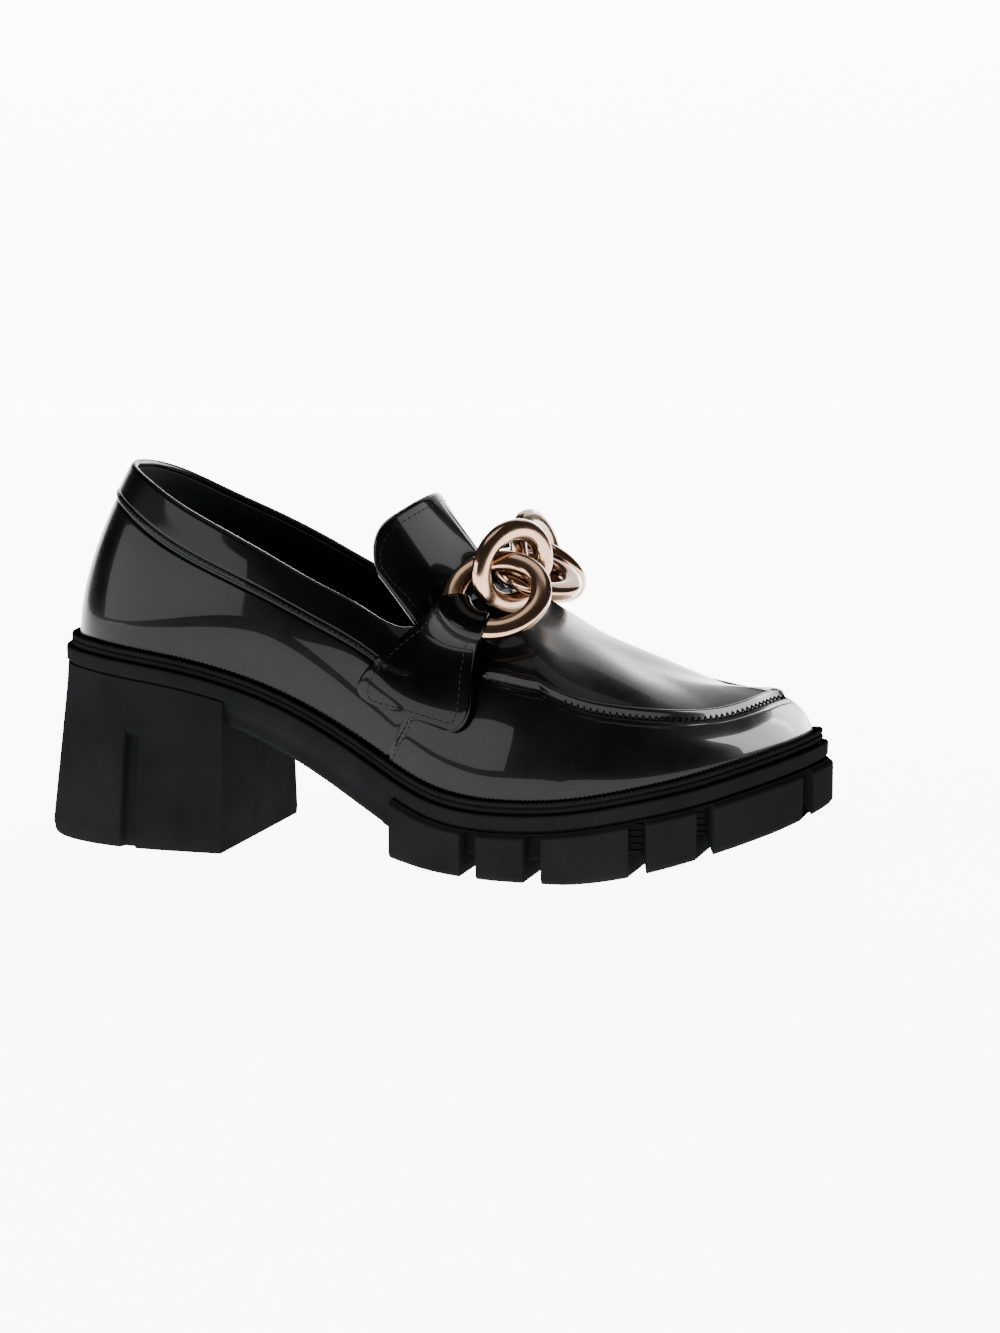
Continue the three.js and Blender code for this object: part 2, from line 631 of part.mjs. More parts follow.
// The tongue: sewn inside the throat edge, then free, leaning back in a half-round curve.
function tongue() {
  const lean = THREE.MathUtils.degToRad(TONGUE_LEAN);
  const clear = -(WALL + TONGUE_CLEAR + TONGUE_THICK / 2);
  const root = upperFace(THROAT, OUTER, 1, clear);
  const wide = THREE.MathUtils.degToRad(TONGUE_CURVE);
  const columns = spread(-1, 1, 12).map((a) => {
    const side = a < 0 ? OUTER : INNER;
    const size = Math.abs(a);
    const sewn = (depth) => {
      const station = THROAT - TONGUE_ROOT * size + TONGUE_SEWN.ahead * depth * (1 - size);
      return upperFace(station, side, 1 - TONGUE_SEWN.down * depth * size, clear);
    };
    const turn = a * wide;
    const back = (TONGUE_WRAP * (1 - Math.cos(turn))) / (1 - Math.cos(wide));
    const top = vec(
      root.x - TONGUE_LENGTH * Math.cos(lean) - back * Math.sin(lean),
      root.y + (TONGUE_HALF * Math.sin(turn)) / Math.sin(wide),
      root.z + TONGUE_LENGTH * Math.sin(lean) - back * Math.cos(lean),
    );
    const { from, cut } = TONGUE_CORNER;
    const corner = 1 - cut * Math.max(0, (size - from) / (1 - from)) ** 3;
    const edge = sewn(0);
    const free = spread(0, 1, 6).slice(1).map((b) => edge.clone().lerp(top, b * corner));
    return [sewn(1), sewn(0.5), edge, ...free];
  });
  const rows = columns[0].map((_, i) => columns.map((column) => column[i]));
  return sheet(rows, TONGUE_THICK);
}

// A link's centre, its three directions and half its two sizes, to the middle of its wire.
function linkFrame({ x, y, z, face, reach, size }) {
  const normal = vec(...face).normalize();
  const long = vec(...reach);
  long.addScaledVector(normal, -long.dot(normal)).normalize();
  const wide = normal.clone().cross(long);
  const centre = vec(SOLE_LENGTH * x, BALL_WIDTH * y, BACK_HEIGHT * z);
  const half = [(size.length - WIRE.width) / 2, (size.width - WIRE.width) / 2];
  return { centre, normal, long, wide, half };
}

// The middle of a link's wire at a turn round the link, and the way out from the link's centre.
function wireAt({ centre, long, wide, half }, turn) {
  const ray = long.clone().multiplyScalar(Math.cos(turn)).addScaledVector(wide, Math.sin(turn));
  const middle = centre
    .clone()
    .addScaledVector(long, half[0] * Math.cos(turn))
    .addScaledVector(wide, half[1] * Math.sin(turn));
  return { middle, ray };
}

// One link of the chain: an oval ring of flattened wire.
function link(row) {
  const frame = linkFrame(row);
  const rows = spread(0, 2 * Math.PI, 24).slice(0, -1).map((turn) => {
    const { middle, ray } = wireAt(frame, turn);
    return spread(0, 2 * Math.PI, 8).slice(0, -1).map((round) =>
      middle
        .clone()
        .addScaledVector(ray, (WIRE.width / 2) * Math.cos(round))
        .addScaledVector(frame.normal, (WIRE.thick / 2) * Math.sin(round)),
    );
  });
  const skin = new Skin();
  rows.forEach((row, i) => skin.strip(row, rows[(i + 1) % rows.length], true));
  return solid(skin.geometry());
}

// A search over the upper's surface: where it starts, as a station and a level, its number of steps,
// and the furthest that one step may go.
const SEARCH = { start: [8.6, 0.5], tries: 12, reach: [0.6, 0.2] };
const clampTo = (limit, value) => THREE.MathUtils.clamp(value, -limit, limit);

// The station and level of the upper's point at a given distance along the shoe and height.
function placeOn(side, x, z) {
  let [station, level] = SEARCH.start;
  const step = 0.01;
  for (let i = 0; i < SEARCH.tries; i++) {
    const here = bareUpper(station, side, level);
    const ahead = bareUpper(station + step, side, level).sub(here).divideScalar(step);
    const above = bareUpper(station, side, level + step).sub(here).divideScalar(step);
    const [missX, missZ] = [x - here.x, z - here.z];
    const scale = ahead.x * above.z - ahead.z * above.x;
    station += clampTo(SEARCH.reach[0], (missX * above.z - missZ * above.x) / scale);
    level += clampTo(SEARCH.reach[1], (missZ * ahead.x - missX * ahead.z) / scale);
    station = Math.min(station, THROAT - 2 * step);
  }
  return [station, level];
}

// A saddle tab: it lies on the upper, then rises and folds over the wire of its end link.
function saddle(side, row) {
  const last = TAB.length - 1;
  const across = spread(0, 1, 6);
  const rows = spread(0, last, 10).map((at) => {
    const rise = TAB_REST + TAB_THICK / 2 + TAB_LIFT * (at / last) ** 3;
    const ends = ["back", "front", "backHeight", "frontHeight"].map((name) => along(TAB, name, at));
    return across.map((share) => {
      const x = SOLE_LENGTH * THREE.MathUtils.lerp(ends[0], ends[1], share);
      const z = BACK_HEIGHT * THREE.MathUtils.lerp(ends[2], ends[3], share);
      const [station, level] = placeOn(side, x, z);
      return upperFace(station, side, level, relief(station, level) + rise);
    });
  });
  const frame = linkFrame(row);
  const lean = Math.atan2(frame.wide.dot(TAB_PULL), frame.long.dot(TAB_PULL));
  const turnHalf = TAB_HALF / frame.half[0];
  const forward = Math.sign(wireAt(frame, lean + turnHalf).middle.x - wireAt(frame, lean).middle.x);
  const room = FOLD_ROOM + TAB_THICK / 2;
  for (const angle of FOLD_TURNS) {
    const round = THREE.MathUtils.degToRad(angle);
    rows.push(
      across.map((share) => {
        const { middle, ray } = wireAt(frame, lean + forward * turnHalf * (2 * share - 1));
        return middle
          .addScaledVector(ray, (WIRE.width / 2 + room) * Math.cos(round))
          .addScaledVector(frame.normal, (WIRE.thick / 2 + room) * Math.sin(round));
      }),
    );
  }
  return sheet(rows, TAB_THICK);
}

const material = (color, roughness, metalness) =>
  new THREE.MeshStandardMaterial({ color, roughness, metalness, side: THREE.DoubleSide });
const patent = material(0x0b0b0c, 0.08, 0);
const rubber = material(0x17171a, 0.6, 0);
const lining = material(0x141414, 0.8, 0);
const rose = material(0xd9b49c, 0.18, 1);

const shoe = new THREE.Group();
function piece(name, body, finish) {
  const geometry = geometryOf(body);
  geometry.computeVertexNormals();
  const mesh = new THREE.Mesh(geometry, finish);
  mesh.name = name;
  shoe.add(mesh);
}

piece("outsole", outsole(), rubber);
piece("welt", welt(), rubber);
piece("insole", insole(), lining);
piece("upper", upper(), patent);
piece("tongue", tongue(), patent);
piece("saddle_outer", saddle(OUTER, CHAIN[0]), patent);
piece("saddle_inner", saddle(INNER, CHAIN.at(-1)), patent);
CHAIN.forEach((row, i) => piece(`chain_link_${i + 1}`, link(row), rose));

const box = new THREE.Box3().setFromObject(shoe);
const centre = box.getCenter(vec(0, 0, 0));
shoe.position.set(-centre.x, -centre.y, -box.min.z);

export default shoe;
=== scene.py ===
# %% [markdown]
# A platform loafer in black patent leather, with a lugged rubber sole, a block heel and a chain.
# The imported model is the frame: it holds the true sizes of every piece. This lesson dresses that
# frame. It repeats the few short tables that shape the last and the sole, makes finer meshes from
# them, and adds what is too small for the solids: seams, stitches, ribs, folds and the finishes.

# %% Load the frame
import math

import bmesh
import bpy
import numpy as np
from mathutils import Matrix, Vector


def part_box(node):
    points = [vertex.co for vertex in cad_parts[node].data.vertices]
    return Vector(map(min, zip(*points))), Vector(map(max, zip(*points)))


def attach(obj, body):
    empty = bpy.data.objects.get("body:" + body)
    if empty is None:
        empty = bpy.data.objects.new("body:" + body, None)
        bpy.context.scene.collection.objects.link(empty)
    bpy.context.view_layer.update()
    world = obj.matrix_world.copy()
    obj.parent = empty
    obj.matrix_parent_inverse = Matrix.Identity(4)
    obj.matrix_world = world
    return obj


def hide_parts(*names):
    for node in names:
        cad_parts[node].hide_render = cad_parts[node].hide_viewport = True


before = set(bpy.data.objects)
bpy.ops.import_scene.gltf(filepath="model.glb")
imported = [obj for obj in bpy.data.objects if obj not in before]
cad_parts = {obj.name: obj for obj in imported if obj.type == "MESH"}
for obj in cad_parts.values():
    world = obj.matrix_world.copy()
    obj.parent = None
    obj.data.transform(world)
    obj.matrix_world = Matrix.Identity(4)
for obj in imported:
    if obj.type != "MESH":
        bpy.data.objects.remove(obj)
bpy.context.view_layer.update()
print("pieces of the frame:", sorted(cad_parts))

# %% [markdown]
# Sizes. A shoemaker gives the length, the width at the ball and the two heights, and draws the last
# as sections. The same is done here: a few sizes in millimetres, and a table with a value for each
# of 16 stations, from the back seam (0) to the tip of the toe (15). Lengths in the tables are shares
# of the sizes. Smooth curves through the values make a surface that is round without being dense.

# %% Driving sizes, in millimetres
SOLE_LENGTH = 250
BALL_WIDTH = 92
HEEL_RISE = 64
BACK_HEIGHT = 118.5
WALL = 1.8
GAP = 0.3
WELT_THICK = 3.7
WELT_IN = 1.8
FEATHER_IN = 4.5
RAND_HEIGHT = 4.6
CREASE_HEIGHT = 0.8
CREASE_DEPTH = 1.3
RAND_ROUND = 0.7
HEEL_FLARE = 3.4
BACK_FLARE = 2.4
HEEL_TOP_IN = 0.5
BREAST = 0.276
TREAD_START = 0.508
LUG_PROUD = 1.6
LUG_GAP = 5
LUG_SLOT_DEPTH = 3.6
TREAD_DEPTH = 6
TREAD_REACH = 20
LUG_GAPS = [0.616, 0.698, 0.822, 0.895, 0.993]
TIP = 15
THROAT = 10
OUTER, INNER = -1, 1

# %% The tables of the last and the sole
PLAN = {
    "along": [0.018, 0.032, 0.068, 0.132, 0.216, 0.312, 0.4, 0.48,
              0.56, 0.648, 0.736, 0.816, 0.888, 0.948, 0.988, 1.008],
    "outer": [0.0, 0.141, 0.261, 0.342, 0.364, 0.359, 0.373, 0.418,
              0.478, 0.516, 0.511, 0.467, 0.375, 0.234, 0.076, -0.12],
    "inner": [0.0, 0.141, 0.255, 0.332, 0.342, 0.321, 0.299, 0.304,
              0.359, 0.435, 0.484, 0.484, 0.446, 0.37, 0.266, 0.12],
    "welt": [1.0, 0.998, 0.998, 0.978, 0.936, 0.842, 0.702, 0.542,
             0.405, 0.37, 0.391, 0.447, 0.509, 0.575, 0.619, 0.641],
}
UNDER = {
    "shank": [0.78, 0.78, 0.78, 0.76, 0.7, 0.57, 0.395, 0.22,
              0.115, 0.094, 0.094, 0.14, 0.21, 0.28, 0.34, 0.37],
    "tread": [0, 0, 0, 0, 0, 0.1, 0.12, 0.08,
              0.02, 0, 0, 0.046, 0.12, 0.19, 0.245, 0.28],
    "tuck": [0.03, 0.03, 0.03, 0.03, 0.03, 0.03, 0.03, 0.025,
             0.01, 0.01, 0.01, 0.01, 0.01, 0.01, 0.01, 0.01],
}
TOP_LINE = {
    "along": [0.11, 0.12, 0.152, 0.204, 0.268, 0.332, 0.394, 0.452, 0.504, 0.56, 0.612],
    "outer": [0.0, 0.092, 0.179, 0.239, 0.275, 0.291, 0.293, 0.283, 0.261, 0.185, -0.022],
    "inner": [0.0, 0.092, 0.179, 0.239, 0.272, 0.283, 0.283, 0.272, 0.25, 0.19, 0.022],
    "height": [1.0, 0.992, 0.962, 0.905, 0.844, 0.781, 0.716, 0.657, 0.608, 0.658, 0.705],
}
RIDGE = {
    "along": [0.612, 0.672, 0.736, 0.8, 0.856, 0.9],
    "side": [0.022, 0.027, 0.038, 0.049, 0.06, 0.071],
    "height": [0.705, 0.616, 0.547, 0.487, 0.462, 0.456],
}
SECTIONS = {
    "swell": [0.0, 0.01, 0.022, 0.027, 0.033, 0.033, 0.033, 0.027,
              0.027, 0.027, 0.033, 0.033, 0.033, 0.022, 0.005, -0.02],
    "rise": [0.21, 0.21, 0.2, 0.19, 0.18, 0.17, 0.17, 0.17,
             0.2, 0.26, 0.29, 0.27, 0.23, 0.185, 0.155, 0.14],
    "ahead": [-0.1, -0.1, -0.11, -0.085, -0.065, -0.033, 0.0, 0.022,
              0.043, 0.065, 0.065, 0.11, 0.14, 0.2, 0.18, 0.145],
    "spread": [0.0, 0.005, 0.022, 0.033, 0.038, 0.043, 0.043, 0.065,
               0.098, 0.15, 0.34, 0.33, 0.29, 0.19, 0.085, 0.0],
    "drop": [0.17, 0.165, 0.165, 0.165, 0.155, 0.14, 0.13, 0.12,
             0.11, 0.065, 0.035, 0.0, 0.0, 0.0, 0.0, 0.0],
    "seam": [0.82, 0.81, 0.8, 0.77, 0.74, 0.72, 0.7, 0.68,
             0.65, 0.59, 0.47, 0.425, 0.43, 0.5, 0.58, 0.63],
}

# %% [markdown]
# A curve through a table. A spline that bends evenly from one value to the next keeps reflections
# whole on a glossy last, where a chain of separate arcs would show as kinks. Past either end the
# values are those of the other side, as in a mirror, so the shape runs smoothly round back and toe.

# %% Smooth curves through the tables
def spline(values):
    """A function through values at 0, 1, 2 ... with an even bend and straight ends."""
    knots = np.array(values, float)
    count = len(knots)
    matrix = np.eye(count)
    pull = np.zeros(count)
    for i in range(1, count - 1):
        matrix[i, i - 1:i + 2] = [1, 4, 1]
        pull[i] = 6 * (knots[i - 1] - 2 * knots[i] + knots[i + 1])
    bend = np.linalg.solve(matrix, pull)

    def at(x):
        i = np.clip(np.floor(x).astype(int), 0, count - 2)
        t = x - i
        s = 1 - t
        return s * knots[i] + t * knots[i + 1] + ((s**3 - s) * bend[i] + (t**3 - t) * bend[i + 1]) / 6

    return at


def mirrored(table, column, other=None, flip=1):
    """A curve through a column that goes on, at both ends, as the other side's column."""
    reach = 4
    own = list(table[column])
    twin = [flip * v for v in table[other or column]]
    before = twin[reach:0:-1]
    after = twin[-2:-2 - reach:-1]
    curve = spline(before + own + after)
    return lambda x: curve(np.asarray(x, float) + reach)


def opened(table, column):
    """A curve through a column that goes on straight past its ends."""
    own = list(table[column])
    curve = spline([2 * own[0] - own[1]] + own + [2 * own[-1] - own[-2]])
    return lambda x: curve(np.asarray(x, float) + 1)


COLUMN = {OUTER: "outer", INNER: "inner"}
PLAN_ALONG = mirrored(PLAN, "along")
PLAN_ACROSS = {s: mirrored(PLAN, COLUMN[s], COLUMN[-s], -1) for s in (OUTER, INNER)}
WELT = mirrored(PLAN, "welt")
SHANK, TREAD, TUCK = (mirrored(UNDER, c) for c in ("shank", "tread", "tuck"))
TOP_ALONG = opened(TOP_LINE, "along")
TOP_HEIGHT = opened(TOP_LINE, "height")
TOP_ACROSS = {s: mirrored(TOP_LINE, COLUMN[s], COLUMN[-s], -1) for s in (OUTER, INNER)}
RIDGE_AT = {c: opened(RIDGE, c) for c in RIDGE}
SHARE = {c: mirrored(SECTIONS, c) for c in SECTIONS}
print("stations:", len(PLAN["along"]), "sections:", len(SECTIONS["seam"]))

# %% The sole's outline and heights
def unit(v):
    return v / np.maximum(np.linalg.norm(v, axis=-1, keepdims=True), 1e-12)


def points(x, y, z):
    return np.stack(np.broadcast_arrays(x, y, z), axis=-1).astype(float)


def rand(station, side):
    return points(SOLE_LENGTH * PLAN_ALONG(station), side * BALL_WIDTH * PLAN_ACROSS[side](station), 0)


def outward(station, side):
    run = unit(rand(station + 0.02, side) - rand(station - 0.02, side))
    return -side * points(run[..., 1], -run[..., 0], 0)


def outline(station, side, inset, z):
    p = rand(station, side) - outward(station, side) * np.asarray(inset, float)[..., None]
    p[..., 2] = z
    return p


def welt_top(station):
    return HEEL_RISE * WELT(station)


def rand_top(station):
    return welt_top(station) - WELT_THICK


FINE_STATIONS = np.linspace(0, TIP, 3001)


def station_at(x):
    """The station whose outline lies at a distance along the sole."""
    return float(np.interp(x, SOLE_LENGTH * PLAN_ALONG(FINE_STATIONS), FINE_STATIONS))


print("top of the welt at the back and the toe:", welt_top(0).round(1), welt_top(TIP).round(1))


# %% [markdown]
# From the drawing to the frame. The drawing's zero is at the back of the heel, and the frame's is
# below the middle of the shoe. The welt is the same ring in both, so the middle of its box gives the
# move from one to the other. Nothing is fitted by eye.

# %% From drawing to frame
ring_stations = np.linspace(0, TIP, 46)
ring_drawn = np.concatenate([outline(ring_stations, s, WELT_IN, 0.0) for s in (OUTER, INNER)])
welt_low, welt_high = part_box("welt")
drawn_middle = (ring_drawn.min(0) + ring_drawn.max(0)) / 2
ORIGIN = np.array([
    (welt_low[0] + welt_high[0]) / 2 * 1000 - drawn_middle[0],
    (welt_low[1] + welt_high[1]) / 2 * 1000 - drawn_middle[1],
    0.0,
])
print("drawing to frame, in millimetres:", ORIGIN.round(2))


def to_frame(p):
    return (np.asarray(p, float) + ORIGIN) / 1000


# %% Meshes from points and faces
def add_object(name, data):
    """An object with its data, in the scene."""
    obj = bpy.data.objects.new(name, data)
    bpy.context.scene.collection.objects.link(obj)
    return obj


def new_mesh(name, verts, faces, weld=2e-6, angle=None):
    """An object from points in the drawing's millimetres. Points that meet become one."""
    mesh = bpy.data.meshes.new(name)
    mesh.from_pydata(to_frame(verts).tolist(), [], [list(f) for f in faces])
    mesh.update()
    obj = add_object(name, mesh)
    bm = bmesh.new()
    bm.from_mesh(mesh)
    bmesh.ops.remove_doubles(bm, verts=bm.verts, dist=weld)
    bmesh.ops.dissolve_degenerate(bm, edges=bm.edges, dist=weld / 2)
    bmesh.ops.recalc_face_normals(bm, faces=bm.faces)
    bm.to_mesh(mesh)
    bm.free()
    mesh.shade_smooth()
    if angle is not None:
        mesh.set_sharp_from_angle(angle=math.radians(angle))
    return obj


def grid_faces(rows, cols, start=0, close_cols=False):
    """Four-sided faces over a grid of points that is stored row by row."""
    faces = []
    last = cols if close_cols else cols - 1
    for i in range(rows - 1):
        for j in range(last):
            k = (j + 1) % cols
            a, b = start + i * cols + j, start + i * cols + k
            faces.append((a, b, b + cols, a + cols))
    return faces


def dress(obj, finish, slot, *nodes):
    """Gives a piece its finish and its body, and hides the nodes it stands for. Its slot is not used."""
    obj.data.materials.clear()
    obj.data.materials.append(finish)
    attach(obj, "root")
    if nodes:
        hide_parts(*nodes)
    faces = sum(len(p.vertices) - 2 for p in obj.data.polygons)
    print(f"{obj.name}: {faces} triangles")
    return obj


# %% [markdown]
# Camera. The photograph looks at the outer side from a little ahead and a little above, through a
# long lens. The camera stands on a ball about a point over the middle of the sole, and is shifted
# sideways and up in its own plane until that point lies at the photograph's pixel.

# %% The camera
PHOTO_WIDTH, PHOTO_HEIGHT = 1000, 1333
FOCAL_PIXELS = 3600
CAMERA_AZIMUTH, CAMERA_ELEVATION = 17.0, 9.0
CAMERA_DISTANCE = 1137
AIM = np.array([128.0, 0.0, 45.0])
AIM_PIXEL = (434.6, 703.3)

azimuth, elevation = math.radians(CAMERA_AZIMUTH), math.radians(CAMERA_ELEVATION)
cam_right = np.array([math.cos(azimuth), math.sin(azimuth), 0.0])
cam_back = np.array([
    math.sin(azimuth) * math.cos(elevation),
    -math.cos(azimuth) * math.cos(elevation),
    math.sin(elevation),
])
cam_up = np.cross(cam_back, cam_right)
off_right = (AIM_PIXEL[0] - PHOTO_WIDTH / 2) / FOCAL_PIXELS * CAMERA_DISTANCE
off_up = (PHOTO_HEIGHT / 2 - AIM_PIXEL[1]) / FOCAL_PIXELS * CAMERA_DISTANCE
cam_place = AIM + cam_back * CAMERA_DISTANCE - cam_right * off_right - cam_up * off_up

camera_data = bpy.data.cameras.new("camera")
camera_data.sensor_width = 36
camera_data.lens = camera_data.sensor_width * FOCAL_PIXELS / PHOTO_HEIGHT
camera_data.clip_start, camera_data.clip_end = 0.05, 20
camera = add_object("camera", camera_data)
turn = Matrix([cam_right, cam_up, cam_back]).transposed().to_4x4()
camera.matrix_world = Matrix.Translation(Vector(to_frame(cam_place))) @ turn
bpy.context.scene.camera = camera
print("camera at", to_frame(cam_place).round(3), "lens", round(camera_data.lens, 1))

# %% [markdown]
# Studio. The shoe stands on a pale table with a pale sweep behind it. Patent leather shows little but
# its surroundings, so the air is dark and every bright shape is placed where the shoe would mirror
# it: a wide panel to the heel's side for the quarter, a box behind for the vamp, one above, and
# bright boxes ahead of the toe. The table ends close to the shoe, which leaves the dark line above
# its own reflection.

# %% The floor sweep
def material(name):
    made = bpy.data.materials.new(name)
    made.use_nodes = True
    nodes, links = made.node_tree.nodes, made.node_tree.links
    return made, nodes, links, nodes["Principled BSDF"]


FLOOR_GLOW = 9.0
floor_finish, _, _, floor_shader = material("studio_floor")
floor_shader.inputs["Base Color"].default_value = (0.9, 0.9, 0.9, 1)
floor_shader.inputs["Roughness"].default_value = 0.9
floor_shader.inputs["Specular IOR Level"].default_value = 0.0
floor_shader.inputs["Emission Color"].default_value = (1, 1, 1, 1)
floor_shader.inputs["Emission Strength"].default_value = FLOOR_GLOW

SWEEP_HALF_WIDTH, SWEEP_FRONT, SWEEP_BACK = 1.6, -0.48, 1.6
SWEEP_RADIUS, SWEEP_TOP, SWEEP_STEPS = 0.5, 0.8, 24
profile = [(SWEEP_FRONT, 0.0)]
for k in range(SWEEP_STEPS + 1):
    bend = math.radians(90) * k / SWEEP_STEPS
    profile.append((SWEEP_BACK + SWEEP_RADIUS * math.sin(bend), SWEEP_RADIUS * (1 - math.cos(bend))))
profile.append((SWEEP_BACK + SWEEP_RADIUS, SWEEP_TOP))
sweep_points = [(x, y, z) for y, z in profile for x in (-SWEEP_HALF_WIDTH, SWEEP_HALF_WIDTH)]
sweep_mesh = bpy.data.meshes.new("studio_sweep")
sweep_mesh.from_pydata(sweep_points, [], grid_faces(len(profile), 2))
sweep_mesh.materials.append(floor_finish)
sweep_mesh.shade_smooth()
sweep = add_object("studio_sweep", sweep_mesh)
sweep.rotation_euler = (0, 0, azimuth)
print("sweep:", len(profile), "rows")

# %% The light
# Each box is a rectangle that faces the shoe, placed by compass and height in degrees as the shoe
# sees it: 0 is the outer side, 90 ahead of the toe, -90 behind the heel. Some boxes light only a few
# pieces, or spare them, and a later cell gives them those pieces.
TOE, TABS = ["upper_leather"], ["tab_outer", "tab_inner"]
BOXES = {
    "quarter_panel": dict(compass=-48, height=10, away=1.5, width=1.5, tall=0.6, glow=10, spared=TABS),
    "tab_box": dict(compass=-32, height=3, away=1.5, width=0.6, tall=0.24, glow=10, only=TABS),
    "toe_box": dict(compass=101, height=23, away=1.2, width=1.1, tall=1.0, glow=80, only=TOE),
    "toe_side_box": dict(compass=140, height=20, away=1.2, width=0.75, tall=0.95, glow=85, only=TOE),
    "vamp_box": dict(compass=178, height=30, away=1.3, width=1.2, tall=0.78, glow=3.4),
    "tongue_box": dict(compass=98, height=23, away=1.2, width=1.25, tall=1.0, glow=13,
                       only=["tongue_leather", "upper_lining"]),
    "top_box": dict(compass=20, height=80, away=1.4, width=1.2, tall=0.6, glow=2.5),
}
BOX_AIM = Vector((0, 0, 0.07))
FLAGGED = []


def soft_box(name, compass, height, away, width, tall, glow, only=(), spared=()):
    """A rectangular lamp of an even glow that faces a point just above the sole."""
    turn, climb = math.radians(compass), math.radians(height)
    way = Vector((math.sin(turn) * math.cos(climb), -math.cos(turn) * math.cos(climb), math.sin(climb)))
    data = bpy.data.lights.new(name, "AREA")
    data.shape = "RECTANGLE"
    data.size, data.size_y = width, tall
    data.energy = glow * math.pi * width * tall
    lamp = add_object(name, data)
    lamp.location = BOX_AIM + way * away
    lamp.rotation_euler = (-way).to_track_quat("-Z", "Y").to_euler()
    if only or spared:
        lamp.light_linking.receiver_collection = bpy.data.collections.new(f"{name}_lights")
        FLAGGED.append((lamp, only, spared))


for name, place in BOXES.items():
    soft_box(name, **place)

AIR_STRENGTH = 0.1
world = bpy.data.worlds.new("studio_air")
world.use_nodes = True
world.node_tree.nodes["Background"].inputs["Color"].default_value = (1, 1, 1, 1)
world.node_tree.nodes["Background"].inputs["Strength"].default_value = AIR_STRENGTH
bpy.context.scene.world = world

# %% [markdown]
# Finishes. Patent leather is leather under a thick clear film: black, with a mirror-like face that
# waves a little where the skin below it does. The sole is matt moulded rubber with a fine grain.
# Each finish is made of nodes, so it has the same scale on every piece that wears it.

# %% Patent leather
def noise(nodes, links, coords, scale, detail=2.0):
    texture = nodes.new("ShaderNodeTexNoise")
    texture.inputs["Scale"].default_value = scale
    texture.inputs["Detail"].default_value = detail
    links.new(coords.outputs["Object"], texture.inputs["Vector"])
    return texture


def bump(nodes, links, shader, height, strength, distance, before=None):
    node = nodes.new("ShaderNodeBump")
    node.inputs["Strength"].default_value = strength
    node.inputs["Distance"].default_value = distance
    links.new(height.outputs[0], node.inputs["Height"])
    if before is not None:
        links.new(before.outputs["Normal"], node.inputs["Normal"])
    links.new(node.outputs["Normal"], shader.inputs["Normal"])
    return node


RAMP_ENDS = (0.3, 0.7)


def clouded(nodes, links, shader, cloud, tones, gloss):
    """Spreads two close tones, and two roughnesses, over a noise."""
    greys = [(value,) * 3 for value in gloss]
    for socket, pair in (("Base Color", tones), ("Roughness", greys)):
        node = nodes.new("ShaderNodeValToRGB")
        for stop, position, colour in zip(node.color_ramp.elements, RAMP_ENDS, pair):
            stop.position = position
            stop.color = (*colour, 1)
        links.new(cloud.outputs[0], node.inputs["Fac"])
        links.new(node.outputs["Color"], shader.inputs[socket])


def patent_leather():
    made, nodes, links, shader = material("patent_leather")
    coords = nodes.new("ShaderNodeTexCoord")
    cloud = noise(nodes, links, coords, scale=60)
    tones = (0.0005, 0.0005, 0.00055), (0.001, 0.001, 0.00105)
    clouded(nodes, links, shader, cloud, tones, (0.2, 0.3))
    shader.inputs["Specular IOR Level"].default_value = 0.03
    shader.inputs["Coat Weight"].default_value = 0.038
    shader.inputs["Coat IOR"].default_value = 2.0
    shader.inputs["Coat Roughness"].default_value = 0.03
    wave = noise(nodes, links, coords, scale=38, detail=1.0)
    first = bump(nodes, links, shader, wave, strength=0.2, distance=0.0005)
    pore = noise(nodes, links, coords, scale=900)
    bump(nodes, links, shader, pore, strength=0.04, distance=0.00006, before=first)
    return made


def matt(name, tones, gloss, cloud_scale, grain_scale, grain, shine=0.5):
    """A matt finish: clouds of two close tones, and a fine grain of a depth in metres."""
    made, nodes, links, shader = material(name)
    shader.inputs["Specular IOR Level"].default_value = shine
    coords = nodes.new("ShaderNodeTexCoord")
    cloud = noise(nodes, links, coords, cloud_scale, detail=4.0)
    clouded(nodes, links, shader, cloud, tones, gloss)
    texture = noise(nodes, links, coords, grain_scale, detail=3.0)
    bump(nodes, links, shader, texture, strength=0.3, distance=grain)
    return made


def rose_metal():
    made, nodes, links, shader = material("rose_metal")
    coords = nodes.new("ShaderNodeTexCoord")
    cloud = noise(nodes, links, coords, scale=90)
    clouded(nodes, links, shader, cloud, ((0.25, 0.155, 0.1), (0.3, 0.187, 0.122)), (0.13, 0.19))
    shader.inputs["Metallic"].default_value = 1.0
    wave = noise(nodes, links, coords, scale=120, detail=1.0)
    bump(nodes, links, shader, wave, strength=0.12, distance=0.0003)
    return made


PATENT = patent_leather()
RUBBER = matt("sole_rubber", tones=((0.0034, 0.0034, 0.0036), (0.0052, 0.0052, 0.0054)),
              gloss=(0.5, 0.62), cloud_scale=40, grain_scale=1800, grain=0.0001, shine=0)
LINING = matt("lining", tones=((0.008, 0.008, 0.008), (0.012, 0.012, 0.012)),
              gloss=(0.75, 0.9), cloud_scale=80, grain_scale=1400, grain=0.0001, shine=0.03)
THREAD = matt("thread", tones=((0.002, 0.002, 0.002), (0.005, 0.005, 0.005)),
              gloss=(0.4, 0.55), cloud_scale=300, grain_scale=3000, grain=0.00005, shine=0.06)
CUT_EDGE = matt("cut_edge", tones=((0.16, 0.15, 0.15), (0.24, 0.23, 0.23)),
                gloss=(0.4, 0.5), cloud_scale=200, grain_scale=2500, grain=0.00005)
ROSE = rose_metal()
print("finishes:", [finish.name for finish in (PATENT, RUBBER, LINING, THREAD, CUT_EDGE, ROSE)])

